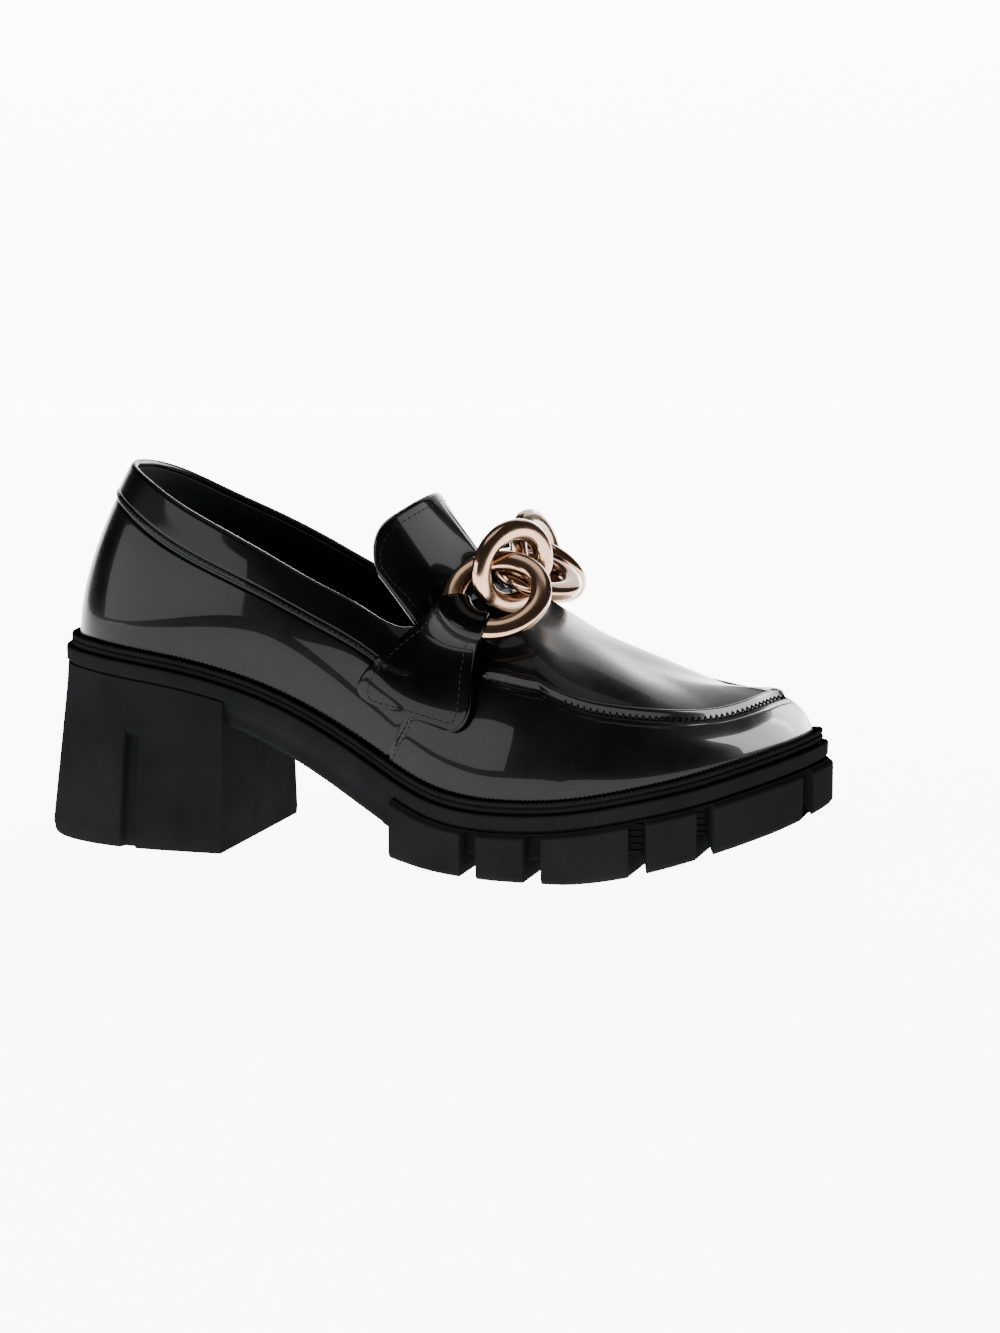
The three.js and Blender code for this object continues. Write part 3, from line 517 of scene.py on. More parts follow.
# %% [markdown]
# The upper. A last is read as sections: each starts at the feather edge on the sole, swells out,
# and comes up to the collar, the throat or the ridge of the vamp. One curve with two handles gives
# each section, and the handles' lengths come from the table. The pieces that lie on the upper ask
# the same function where its surface is.

# %% The upper's surface
THROAT_BLEND = 0.8


def ease(x, a, b):
    """0 before a, 1 after b, and a soft step between them."""
    t = np.clip((np.asarray(x, float) - a) / (b - a), 0, 1)
    return t * t * (3 - 2 * t)


def section_top(station, side):
    behind = points(
        SOLE_LENGTH * TOP_ALONG(station),
        side * BALL_WIDTH * TOP_ACROSS[side](station),
        BACK_HEIGHT * TOP_HEIGHT(station),
    )
    at = np.asarray(station, float) - THROAT
    ahead = points(
        SOLE_LENGTH * RIDGE_AT["along"](at),
        BALL_WIDTH * RIDGE_AT["side"](at),
        BACK_HEIGHT * RIDGE_AT["height"](at),
    )
    return np.where(np.asarray(station)[..., None] <= THROAT, behind, ahead)


def ridge_run(station):
    at = np.clip(np.asarray(station, float), THROAT + 0.01, TIP - 0.01)
    run = section_top(at + 0.01, OUTER) - section_top(at - 0.01, OUTER)
    return run / run[..., :1]


def folded(station, side):
    """A station past the back seam or the tip is the same place on the other side."""
    station = np.asarray(station, float)
    return np.where(station < 0, -station, np.where(station > TIP, 2 * TIP - station, station)), \
        np.where((station < 0) | (station > TIP), -side, side)


def bare_upper(station, side, level):
    """Points on the bare upper: station along, level 0 at the sole to 1 at the top."""
    at, hand = folded(station, side)
    level = np.asarray(level, float)
    at, hand, level = np.broadcast_arrays(at, hand, level)
    result = np.zeros(at.shape + (3,))
    for own in (OUTER, INNER):
        mask = hand == own
        if not mask.any():
            continue
        s, v = at[mask], level[mask][..., None]
        foot = outline(s, own, np.full(s.shape, float(FEATHER_IN)), rand_top(s) + GAP)
        top = section_top(s, own)
        low = foot + outward(s, own) * (BALL_WIDTH * SHARE["swell"](s))[..., None]
        low[..., 2] += BALL_WIDTH * SHARE["rise"](s)
        high = top.copy()
        high[..., 1] += own * BALL_WIDTH * SHARE["spread"](s)
        ahead = (BALL_WIDTH * SHARE["ahead"](s))[..., None]
        behind_throat = high + points(1, 0, 0) * ahead
        behind_throat[..., 2] -= BALL_WIDTH * SHARE["drop"](s)
        turned = ease(s, THROAT - THROAT_BLEND, THROAT + THROAT_BLEND)[..., None]
        high = behind_throat + (high + ridge_run(s) * ahead - behind_throat) * turned
        u = 1 - v
        result[mask] = u**3 * foot + 3 * u * u * v * low + 3 * u * v * v * high + v**3 * top
    return result


def normal_of(station, side, level):
    station, level = np.broadcast_arrays(np.asarray(station, float), np.asarray(level, float))
    round_step, up_step = 0.02, 0.005
    run = bare_upper(station + round_step, side, level) - bare_upper(station - round_step, side, level)
    rise = bare_upper(station, side, level + up_step) - bare_upper(station, side, level - up_step)
    free = -side * unit(np.cross(run, rise))
    ridge = ridge_run(station)
    on_ridge = unit(points(-ridge[..., 2], 0, ridge[..., 0]))
    mask = ((level > 0.999) & (station >= THROAT))[..., None]
    return np.where(mask, on_ridge, free)


def upper_face(station, side, level, offset):
    offset = np.asarray(offset, float)
    return bare_upper(station, side, level) + normal_of(station, side, level) * offset[..., None]


print("back height", bare_upper(0.0, OUTER, 1.0).round(1), "toe", bare_upper(TIP, OUTER, 0.5).round(1))

# %% [markdown]
# Relief of the upper. The collar is a folded band, so it stands a little proud of the quarter. The
# vamp is sewn to its apron in a raised seam that pinches both skins. Distances from the seam are
# measured along the section in millimetres, so the seam is as wide at the toe as at the side.

# %% Relief: the collar band, the moccasin seam and the vamp's edge
SEAM_RAISE = 1.5
SEAM_WIDTH = 2.6
COLLAR_RAISE = 0.7
COLLAR_FADES = (7.5, 8.5)
SEAM_STARTS = (9.0, 9.6)
COLLAR_EDGE = 0.5
SEAM_HALF = SEAM_WIDTH / 1.3
VAMP_RAISE = 0.6
VAMP_STEP, VAMP_FADES, VAMP_ENDS = (-0.01, 0.03), (0.1, 1.4), (0.5, 0.62)
VAMP_CREASE = {"behind": 0.03, "depth": 0.3, "half": 0.035}
BACK_SEAM = {"depth": 0.35, "half": 0.06}
# Creases beside the collar's edge and the seam: place past the seam, depth and half width.
COLLAR_CREASES = [(-0.5, 0.3, 0.7), (2.1, 0.25, 0.5)]
SEAM_CREASES = [(-2.6, 0.55, 0.9), (-5.2, 0.3, 0.5)]
VAMP_EDGE = {
    "level": [0.0, 0.05, 0.26, 0.39, 0.5, 1.0],
    "station": [7.05, 7.12, 7.45, 7.7, 7.85, 8.3],
}


def bell(x, half):
    """A round hump of height 1 and half width half."""
    t = np.clip(np.abs(x) / half, 0, 1)
    return (1 - t * t) ** 2


def relief(station, past_seam, level):
    """How far the face stands out, from its distance past the seam in millimetres and its level."""
    behind = 1 - ease(station, *COLLAR_FADES)
    ahead = ease(station, *SEAM_STARTS)
    band = COLLAR_RAISE * ease(past_seam, 0, COLLAR_EDGE)
    for place, depth, half in COLLAR_CREASES:
        band = band - depth * bell(past_seam - place, half)
    bead = SEAM_RAISE * ahead * bell(past_seam, SEAM_HALF)
    creases = 0
    for place, depth, half in SEAM_CREASES:
        creases = creases + depth * bell(past_seam - place, half)
    line = np.interp(level, VAMP_EDGE["level"], VAMP_EDGE["station"])
    edge = station - line
    low = 1 - ease(level, *VAMP_ENDS)
    vamp = low * (VAMP_RAISE * ease(edge, *VAMP_STEP) * (1 - ease(edge, *VAMP_FADES))
                  - VAMP_CREASE["depth"] * bell(edge + VAMP_CREASE["behind"], VAMP_CREASE["half"]))
    under_collar = 1 - ease(past_seam, -COLLAR_EDGE, COLLAR_EDGE)
    back = -BACK_SEAM["depth"] * bell(station, BACK_SEAM["half"]) * under_collar
    return behind * band + bead - ahead * creases + vamp + back


print("the seam stands out by", relief(12, 0, 0.5).round(2), "mm at the vamp")


# %% The upper's mesh
STATION_STEPS = 20 * TIP
LEVEL_STEPS = 100
LEVEL_CROWD = 1.5
INNER_STRIDE = 4
RIM_STEPS = 6


def levels_by(stations, steps, top=None):
    """Levels for each station, close together at its seam."""
    half = steps // 2
    seam = SHARE["seam"](stations)[:, None]
    top = np.ones(len(stations)) if top is None else top
    near = (np.arange(half + 1) / half)[None, :] ** LEVEL_CROWD
    below = (seam * (1 - near))[:, ::-1]
    above = seam + (top[:, None] - seam) * near
    return np.concatenate([below, above[:, 1:]], axis=1)


def run_along(line):
    """Distances along rows of points, from the first point of each row."""
    steps = np.linalg.norm(np.diff(line, axis=-2), axis=-1)
    return np.concatenate([np.zeros(steps.shape[:-1] + (1,)), np.cumsum(steps, axis=-1)], axis=-1)


def shell(name, steps, raised, depth, top=None):
    """A wall that follows the upper: raised is a function for its outer face, depth is its inner."""
    stations = np.linspace(0, TIP, STATION_STEPS + 1)
    level = levels_by(stations, steps, top)
    spot = np.broadcast_to(stations[:, None], level.shape)
    verts, faces = [], []
    for side in (OUTER, INNER):
        bare = bare_upper(spot, side, level)
        normal = normal_of(spot, side, level)
        length = run_along(bare)
        past = length - length[:, steps // 2, None]
        outer = bare + normal * raised(spot, past, level)[..., None]
        inner = (bare - normal * depth)[:, ::-INNER_STRIDE]
        ring = outer.shape[1] + RIM_STEPS - 1 + inner.shape[1]
        arm = (outer[:, -1] - inner[:, 0]) / 2
        middle = (outer[:, -1] + inner[:, 0]) / 2
        open_top = (stations <= THROAT)[:, None]
        lift = unit(outer[:, -1] - outer[:, -2]) * np.linalg.norm(arm, axis=1, keepdims=True) * open_top
        turns = np.linspace(0, math.pi, RIM_STEPS + 1)[1:-1]
        rim = np.stack([middle + arm * math.cos(t) + lift * math.sin(t) for t in turns], axis=1)
        start = sum(len(v) for v in verts)
        verts.append(np.concatenate([outer, rim, inner], axis=1).reshape(-1, 3))
        for i in range(len(stations) - 1):
            for j in range(ring):
                on_rim = steps <= j < steps + RIM_STEPS
                if on_rim and stations[i] >= THROAT:
                    continue
                a, b = start + i * ring + j, start + i * ring + (j + 1) % ring
                faces.append((a, a + ring, b + ring, b))
    return new_mesh(name, np.concatenate(verts), faces, weld=4e-6)


dress(shell("upper_leather", LEVEL_STEPS, relief, WALL), PATENT, "patent", "upper")

LINING_FROM, LINING_TO = WALL + 0.12, WALL + 0.8
LINING_STEPS, LINING_TOP = 32, 0.985
near_throat = ease(np.linspace(0, TIP, STATION_STEPS + 1), THROAT - 0.4, THROAT)
lining_top = LINING_TOP + (1 - LINING_TOP) * near_throat
dress(shell("upper_lining", LINING_STEPS, lambda s, past, level: np.full(level.shape, -LINING_FROM),
            LINING_TO, lining_top), LINING, "lining")

# %% [markdown]
# The sole unit. It comes out of a mould in one piece: a rand round the foot, a crease below it, the
# side, and then a block heel, a shank and a lugged forepart. It could be cut from a block with
# booleans, but a glossy crease needs even faces. So it is drawn as the upper is, section by
# section. Where the heel ends, or a gap between lugs begins, two sections stand close together and
# the faces between them are the wall.

# %% How the sole's sections change along it
EDGE = 0.5
HEEL_GROOVE_AT = 0.155
HEEL_GROOVE_WIDTH, HEEL_GROOVE_DEPTH, HEEL_GROOVE_TOP = 4.6, 2.6, 37
BREAST_STATION = station_at(BREAST * SOLE_LENGTH)
TREAD_STATION = station_at(TREAD_START * SOLE_LENGTH)
girth = {}
for side in (OUTER, INNER):
    steps = np.linalg.norm(np.diff(rand(FINE_STATIONS, side), axis=0), axis=1)
    girth[side] = np.concatenate([[0], np.cumsum(steps)])
print("stations of the heel's breast and the tread's start:", round(BREAST_STATION, 2),
      round(TREAD_STATION, 2))


def round_from(station, side, place):
    """Distance round the outline from a place, in millimetres."""
    return np.interp(station, FINE_STATIONS, girth[side]) - np.interp(place, FINE_STATIONS, girth[side])


def slot_share(station, side, place, width):
    """1 inside a slot of a given width, 0 outside, with a soft corner."""
    away = np.abs(round_from(station, side, place))
    return 1 - ease(away, width / 2 - EDGE / 2, width / 2 + EDGE / 2)


def gap_share(station, side):
    shares = [slot_share(station, side, station_at(g * SOLE_LENGTH), LUG_GAP) for g in LUG_GAPS]
    return np.max(shares, axis=0)


def groove_share(station, side):
    side_slot = slot_share(station, side, station_at(HEEL_GROOVE_AT * SOLE_LENGTH), HEEL_GROOVE_WIDTH)
    back_slot = slot_share(station, side, 0.0, HEEL_GROOVE_WIDTH)
    return np.maximum(side_slot, back_slot)


NEAR_WALL = np.array([-0.03, -0.02, -0.01, -0.003, 0.003, 0.01, 0.02])


def sole_stations():
    """Even steps, and close ones at every corner of the plan."""
    spots = [np.linspace(0, TIP, 20 * TIP + 1)]
    corner_steps = np.linspace(-EDGE, EDGE, 7)
    places = [(station_at(g * SOLE_LENGTH), LUG_GAP) for g in LUG_GAPS]
    places += [(station_at(HEEL_GROOVE_AT * SOLE_LENGTH), HEEL_GROOVE_WIDTH), (0.0, HEEL_GROOVE_WIDTH)]
    for place, width in places:
        for edge in (-width / 2, width / 2):
            length = np.interp(place, FINE_STATIONS, girth[OUTER]) + edge + corner_steps
            spots.append(np.interp(length, girth[OUTER], FINE_STATIONS))
    for place in (BREAST_STATION, TREAD_STATION):
        spots.append(place + NEAR_WALL)
    return np.unique(np.clip(np.concatenate(spots), 0, TIP).round(5))


# %% One half-section of the sole, from the deck's middle round to the tread's middle
SIDE_STEPS = 20
SIDE_DROPS = [0, 0.4, 0.8, 1.2, 1.7, 2.0, 2.2, 2.4, 3.0]
PANEL_DEPTH, PANEL_DROP, PANEL_END = 0.7, 2.0, 0.487
PANEL_END_STATION = station_at(PANEL_END * SOLE_LENGTH)
FOOT_ROUND, HEEL_FOOT_RISE, LUG_FOOT_RISE = 0.8, 1.4, 1.2
SLOT_TOP_ROUND, GAP_TOP = 0.4, (0.4, 1.2)
SHANK_TUCKED, SHANK_FOOT_FROM = 0.6, 0.85
# The lip above the crease: inset and height above the crease.
CREASE_LIP = [(0.1, 0.4), (0.35, 0.1)]


def sole_section(station, side):
    """Inset and height of each point of a section, for an array of stations."""
    count = len(station)
    top = rand_top(station)
    crease = top - RAND_HEIGHT
    below = crease - CREASE_HEIGHT
    heel = (station <= BREAST_STATION).astype(float)
    lug = (station >= TREAD_STATION).astype(float)
    gap = lug * gap_share(station, side)
    groove = heel * groove_share(station, side)
    shank_inset = BALL_WIDTH * TUCK(station)
    bottom = np.where(heel > 0, 0.0, np.where(lug > 0, np.maximum(0, HEEL_RISE * TREAD(station)),
                                              HEEL_RISE * SHANK(station)))
    bottom = bottom + gap * TREAD_DEPTH
    rows = [(np.full(count, RAND_ROUND * 1.6), top)]
    for turn in np.linspace(0, math.pi / 2, 5):
        rows.append((np.full(count, RAND_ROUND * (1 - math.sin(turn))),
                     top - RAND_ROUND * (1 - math.cos(turn))))
    for inset, rise in CREASE_LIP:
        rows.append((np.full(count, inset), crease + rise))
    rows.append((np.full(count, CREASE_DEPTH), crease))
    rows.append((np.full(count, CREASE_DEPTH), below))
    panel = ease(station, BREAST_STATION + 0.15, BREAST_STATION + 0.25)
    panel = PANEL_DEPTH * panel * (1 - ease(station, PANEL_END_STATION - 0.04, PANEL_END_STATION))
    drops = [np.full(count, d) for d in SIDE_DROPS]
    drops += [SIDE_DROPS[-1] + (below - bottom - SIDE_DROPS[-1]) * k / SIDE_STEPS
              for k in range(1, SIDE_STEPS + 1)]
    for drop in drops:
        z = below - drop
        share = drop / (below - bottom)
        high = z - bottom
        heel_inset = HEEL_TOP_IN - (HEEL_FLARE + HEEL_TOP_IN) * (1 - z / np.maximum(below, 1))
        heel_inset = heel_inset + FOOT_ROUND * (1 - ease(z, 0, HEEL_FOOT_RISE))
        side_lug = -LUG_PROUD * ease(drop, 0, LUG_PROUD) + FOOT_ROUND * (1 - ease(high, 0, LUG_FOOT_RISE))
        side_shank = CREASE_DEPTH + (shank_inset - CREASE_DEPTH) * ease(share, 0, SHANK_TUCKED)
        side_shank = side_shank + ease(share, SHANK_FOOT_FROM, 1)
        side_shank = side_shank + panel * ease(drop, PANEL_DROP, PANEL_DROP + 0.4)
        inset = np.where(heel > 0, heel_inset, np.where(lug > 0, side_lug, side_shank))
        inset = inset + gap * (LUG_SLOT_DEPTH + LUG_PROUD) * ease(drop, *GAP_TOP)
        slot_top = ease(HEEL_GROOVE_TOP - z, -SLOT_TOP_ROUND, SLOT_TOP_ROUND)
        inset = inset + groove * HEEL_GROOVE_DEPTH * slot_top
        rows.append((inset, z))
    return rows, bottom, bottom - gap * TREAD_DEPTH


def sole_mesh():
    stations = sole_stations()
    heel_top = rand_top(BREAST_STATION) - RAND_HEIGHT - CREASE_HEIGHT
    rings, floors = {}, {}
    for side in (OUTER, INNER):
        rows, *floors[side] = sole_section(stations, side)
        at = np.stack([outline(stations, side, inset, z) for inset, z in rows], axis=1)
        share = np.clip(1 - at[..., 2] / heel_top, 0, 1)
        lean = np.clip(1 - at[..., 0] / (BREAST * SOLE_LENGTH), 0, None)
        heel = (stations <= BREAST_STATION)[:, None]
        at[..., 0] -= np.where(heel, BACK_FLARE * share * lean, 0)
        rings[side] = at
    middle_top = (rings[OUTER][:, :1] + rings[INNER][:, :1]) / 2
    middle_low = (rings[OUTER][:, -1] + rings[INNER][:, -1]) / 2
    middle_low[:, 2] = (floors[OUTER][1] + floors[INNER][1]) / 2
    verts, faces = [], []
    for side in (OUTER, INNER):
        edge = rings[side][:, -1]
        wide = np.linalg.norm((middle_low - edge)[:, :2], axis=1)
        part = np.clip(TREAD_REACH / np.maximum(wide, 1), 0, 0.9)[:, None]
        reached = edge + (middle_low - edge) * part
        roof, floor = reached.copy(), edge + (middle_low - edge) * (part + 0.01)
        roof[:, 2], floor[:, 2] = floors[side]
        ends = np.stack([roof, floor, middle_low], axis=1)
        at = np.concatenate([middle_top, rings[side], ends], axis=1)
        faces += grid_faces(at.shape[0], at.shape[1], start=sum(len(v) for v in verts))
        verts.append(at.reshape(-1, 3))
    return new_mesh("sole_unit", np.concatenate(verts), faces, weld=2e-5, angle=38)


dress(sole_mesh(), RUBBER, "sole_rubber", "outsole")

# %% [markdown]
# Sheets and rods. The tongue and the tabs are sheets of even thickness, drawn as a grid of points on
# their middle and thickened both ways. Their edges are rounded by a few rows past the last, each
# thinner than the one before. Stitches, ribs and gathers are short rods with rounded ends, many of
# them in one mesh, and each kind is placed along a path by its spacing.

# %% Sheets with rounded edges, and rods
RIM_TURNS = 4


def past_edge(at, normal, thin):
    """Rows past the first row of a grid, thinner and thinner, that round its edge off."""
    way = unit(at[0] - at[1])
    rows = []
    for k in range(RIM_TURNS, 0, -1):
        turn = math.pi / 2 * k / RIM_TURNS
        past = at[0] + way * thin[0][:, None] * math.sin(turn)
        rows.append((past, normal[0], thin[0] * math.cos(turn)))
    return rows


def smoothed(rows, times, first=1, last=-1):
    """Evens out rows first to last of a grid or path in place, each with its two neighbours."""
    last = len(rows) + last if last < 0 else last
    for _ in range(times):
        rows[first:last] = (rows[first - 1:last - 1] + 2 * rows[first:last] + rows[first + 1:last + 1]) / 4


def grid_normal(at):
    return unit(np.cross(np.gradient(at, axis=0), np.gradient(at, axis=1)))


def soft_sheet(name, grid, thickness):
    at = np.asarray(grid, float)
    normal = grid_normal(at)
    thin = np.full(at.shape[:2], thickness / 2)
    for axis in (0, 1):
        parts = [np.swapaxes(a, 0, axis) for a in (at, normal, thin)]
        before = past_edge(*parts)
        after = past_edge(*(a[::-1] for a in parts))[::-1]
        grown = []
        for k, part in enumerate(parts):
            head, tail = np.stack([row[k] for row in before]), np.stack([row[k] for row in after])
            grown.append(np.swapaxes(np.concatenate([head, part, tail]), 0, axis))
        at, normal, thin = grown
    rows, cols = thin.shape
    front = at + normal * thin[..., None]
    back = at - normal * thin[..., None]
    verts = np.concatenate([front.reshape(-1, 3), back.reshape(-1, 3)])
    faces = grid_faces(rows, cols) + grid_faces(rows, cols, start=rows * cols)
    return new_mesh(name, verts, faces)


ROD_PROFILE = [(-0.5, 0.35), (-0.38, 1.0), (0.38, 1.0), (0.5, 0.35)]
ROD_SIDES = 6


def rods(name, middles, ways, ups, length, radius):
    """Short rods with rounded ends, one for each middle, all in one mesh."""
    middles, ways, ups = (np.asarray(a, float) for a in (middles, ways, ups))
    ways = unit(ways)
    aside = unit(np.cross(ways, ups))
    ups = np.cross(aside, ways)
    length = np.broadcast_to(length, len(middles))[:, None]
    rings = []
    for along, wide in ROD_PROFILE:
        for k in range(ROD_SIDES):
            turn = 2 * math.pi * k / ROD_SIDES
            arm = aside * math.cos(turn) + ups * math.sin(turn)
            rings.append(middles + ways * along * length + arm * radius * wide)
    verts = np.stack(rings, axis=1).reshape(-1, 3)
    per = len(ROD_PROFILE) * ROD_SIDES
    one = grid_faces(len(ROD_PROFILE), ROD_SIDES, close_cols=True)
    one += [tuple(range(ROD_SIDES))[::-1], tuple(range(per - ROD_SIDES, per))]
    faces = [tuple(i + n * per for i in f) for n in range(len(middles)) for f in one]
    return new_mesh(name, verts, faces, weld=1e-8)


def spaced(path, normals, pitch):
    """Middles, directions and normals at even steps along a path."""
    path, normals = np.asarray(path, float), np.asarray(normals, float)
    run = run_along(path)
    at = np.arange(pitch / 2, run[-1], pitch)

    def pick(values, d):
        return np.stack([np.interp(d, run, values[:, k]) for k in range(3)], axis=1)

    return pick(path, at), pick(path, at + 0.2) - pick(path, at - 0.2), pick(normals, at)


THREAD_LIFT = 0.05


def round_edge(grid, out, inset, first, turn_row, thickness, evened):
    """A path inside a sheet's edge: along one side to a row, across it, and back along the other."""
    step = 1 if turn_row > first else -1
    across = grid.shape[1] - 1
    inset = [int(np.searchsorted(run, inset)) for run in run_along(grid)]
    route = [(i, inset[i]) for i in range(first, turn_row, step)]
    route += [(turn_row, j) for j in range(inset[turn_row], across - inset[turn_row] + 1)]
    route += [(i, across - inset[i]) for i in range(turn_row - step, first - step, -step)]
    path = np.array([grid[at] + out[at] * (thickness / 2 + THREAD_LIFT) for at in route])
    smoothed(path, evened)
    return path, np.array([out[at] for at in route])


# The pitch, the length and the radius of each kind of stitch, in millimetres.
STITCHES = {
    "tab": (2.1, 1.5, 0.19),
    "tongue": (2.2, 1.6, 0.19),
    "collar": (1.9, 1.35, 0.2),
    "apron": (2.0, 1.5, 0.22),
    "vamp": (2.0, 1.4, 0.2),
}


def sew(name, path, ups):
    """Stitches along a path, of the kind that the first word of their name says."""
    pitch, length, radius = STITCHES[name.split("_")[0]]
    dress(rods(name, *spaced(path, ups, pitch), length, radius), THREAD, "patent")


print("points of a rod:", len(ROD_PROFILE) * ROD_SIDES)


# %% [markdown]
# The chain. Five oval links of flattened wire hang in one another across the instep. They could be
# copies of one ring, turned by hand until they hang right, but then no number says why a link is where
# it is. Here each is drawn from its centre, the way its flat side looks and the way its long side runs,
# which are the same values that place the solid links.

# %% The chain's links
WIRE_WIDTH, WIRE_THICK = 6.6, 4.8
FREE_SIZE, FOLD_SIZE = (34, 29), (34, 30)
CHAIN = {
    "x": [0.627, 0.636, 0.649, 0.635, 0.62],
    "y": [-0.289, -0.191, -0.039, 0.098, 0.268],
    "z": [0.711, 0.776, 0.743, 0.781, 0.722],
    "face": [(0.18, -0.78, 0.6), (-0.89, 0.46, 0), (0.38, -0.11, 0.92), (-0.97, 0.08, -0.22),
             (0.25, 0.7, 0.67)],
    "reach": [(0.82, -0.07, 0.57), (0.44, 0.87, 0.21), (0.06, 0.93, -0.37), (0.16, 0.97, -0.19),
              (0.94, -0.31, 0.13)],
    "size": [FOLD_SIZE, FREE_SIZE, FREE_SIZE, FREE_SIZE, FOLD_SIZE],
}
LINK_STEPS, WIRE_STEPS, WIRE_SQUARE = 96, 28, 2.35


def link_frame(index):
    face, reach = np.array(CHAIN["face"][index], float), np.array(CHAIN["reach"][index], float)
    normal = unit(face)
    long = unit(reach - normal * (reach @ normal))
    centre = np.array([
        SOLE_LENGTH * CHAIN["x"][index], BALL_WIDTH * CHAIN["y"][index], BACK_HEIGHT * CHAIN["z"][index],
    ])
    half = [(size - WIRE_WIDTH) / 2 for size in CHAIN["size"][index]]
    return centre, normal, long, np.cross(normal, long), half


def wire_at(link, turn):
    """The middle of a link's wire at a turn round the link, and the way out from its centre."""
    centre, _, long, wide, half = link
    cos, sin = np.cos(turn)[..., None], np.sin(turn)[..., None]
    return centre + long * half[0] * cos + wide * half[1] * sin, long * cos + wide * sin


def rounded_square(turn, power):
    """Cosine and sine of a turn round a shape between a circle and a square."""
    cos, sin = math.cos(turn), math.sin(turn)
    return [math.copysign(abs(v) ** (2 / power), v) for v in (cos, sin)]


def link_mesh(index):
    link = link_frame(index)
    turns = np.linspace(0, 2 * math.pi, LINK_STEPS, endpoint=False)
    middle, ray = wire_at(link, turns)
    rows = []
    for k in range(WIRE_STEPS):
        out, up = rounded_square(2 * math.pi * k / WIRE_STEPS, WIRE_SQUARE)
        rows.append(middle + ray * WIRE_WIDTH / 2 * out + link[1] * WIRE_THICK / 2 * up)
    rows.append(rows[0])
    verts = np.stack(rows)
    faces = grid_faces(WIRE_STEPS + 1, LINK_STEPS, close_cols=True)
    return new_mesh(f"rose_link_{index + 1}", verts.reshape(-1, 3), faces)


for index in range(len(CHAIN["x"])):
    dress(link_mesh(index), ROSE, "rose_metal", f"chain_link_{index + 1}")

# %% [markdown]
# The tabs. A saddle tab lies on the upper, narrows towards the chain, leaves the leather and folds
# over the wire of its end link. Its rows come from a short table, and each point is set on the last
# by searching for the station and level that lie at its length and height. A shrinkwrap would press a
# flat sheet on the leather too, but it can't lead the sheet off it and round the wire.

# %% Points of the upper at a length and a height
def placed_on(side, x, z):
    x, z = np.broadcast_arrays(np.asarray(x, float), np.asarray(z, float))
    station, level = np.full(x.shape, 8.6), np.full(x.shape, 0.5)
    step = 0.01
    for _ in range(12):
        here = bare_upper(station, side, level)
        ahead = (bare_upper(station + step, side, level) - here) / step
        above = (bare_upper(station, side, level + step) - here) / step
        miss_x, miss_z = x - here[..., 0], z - here[..., 2]
        scale = ahead[..., 0] * above[..., 2] - ahead[..., 2] * above[..., 0]
        station = station + np.clip((miss_x * above[..., 2] - miss_z * above[..., 0]) / scale, -0.6, 0.6)
        level = level + np.clip((miss_z * ahead[..., 0] - miss_x * ahead[..., 2]) / scale, -0.2, 0.2)
        station = np.minimum(station, THROAT - 2 * step)
    return station, level


found = placed_on(OUTER, 135, 55)
print("station and level at 135 mm along and 55 mm high:", [round(float(v), 2) for v in found])


# %% The tabs
TAB = {
    "back": [0.474, 0.463, 0.486, 0.526],
    "back_height": [0.426, 0.463, 0.532, 0.586],
    "front": [0.594, 0.608, 0.607, 0.608],
    "front_height": [0.36, 0.42, 0.495, 0.557],
}
TAB_AT = {c: opened(TAB, c) for c in TAB}
TAB_THICK, TAB_HALF, TAB_REST, TAB_LIFT = 1.7, 8, 0.7, 4
TAB_LIFT_POWER, TAB_SPOT_CROWD, TAB_SEAM_REACH = 1.4, 1.6, 0.028
TAB_SOFTEN = 40
TAB_MIDDLE = (8.6, 0.4)
TAB_CORNER = {"rows": 0.55, "share": 0.1}
TAB_STEPS, TAB_ACROSS, BRIDGE_STEPS, FOLD_STEPS = 44, 24, 8, 26
TAB_SOFT_FROM, TAB_SOFT_TO = TAB_STEPS - 8, TAB_STEPS + BRIDGE_STEPS + 4
FOLD_ROOM = 0.6
FOLD_START, FOLD_END = 10, 185
TAB_PULL = np.array([-0.6, 0, -0.8])


def tab_rows(side, spots, shares):
    """Points on a tab's middle, for places up the tab and shares of its width."""
    last = len(TAB["back"]) - 1
    rise = TAB_REST + TAB_THICK / 2 + TAB_LIFT * (spots / last) ** TAB_LIFT_POWER
    turn = np.clip(1 - spots / TAB_CORNER["rows"], 0, 1)
    narrow = TAB_CORNER["share"] * (1 - np.sqrt(1 - turn**2))
    share = narrow + (1 - 2 * narrow) * shares
    ends = {c: TAB_AT[c](spots) for c in TAB}
    x = SOLE_LENGTH * (ends["back"] + (ends["front"] - ends["back"]) * share)
    z = BACK_HEIGHT * (ends["back_height"] + (ends["front_height"] - ends["back_height"]) * share)
    station, level = placed_on(side, x, z)
    seam = SHARE["seam"](station)
    bead = SEAM_RAISE * ease(station, *SEAM_STARTS)
    bead = bead * np.clip(1 - np.abs(level - seam) / TAB_SEAM_REACH, 0, 1)
    band = COLLAR_RAISE * (1 - ease(station, *COLLAR_FADES)) * ease(level, seam, seam + TAB_SEAM_REACH)
    return upper_face(station, side, level, rise + bead + band)


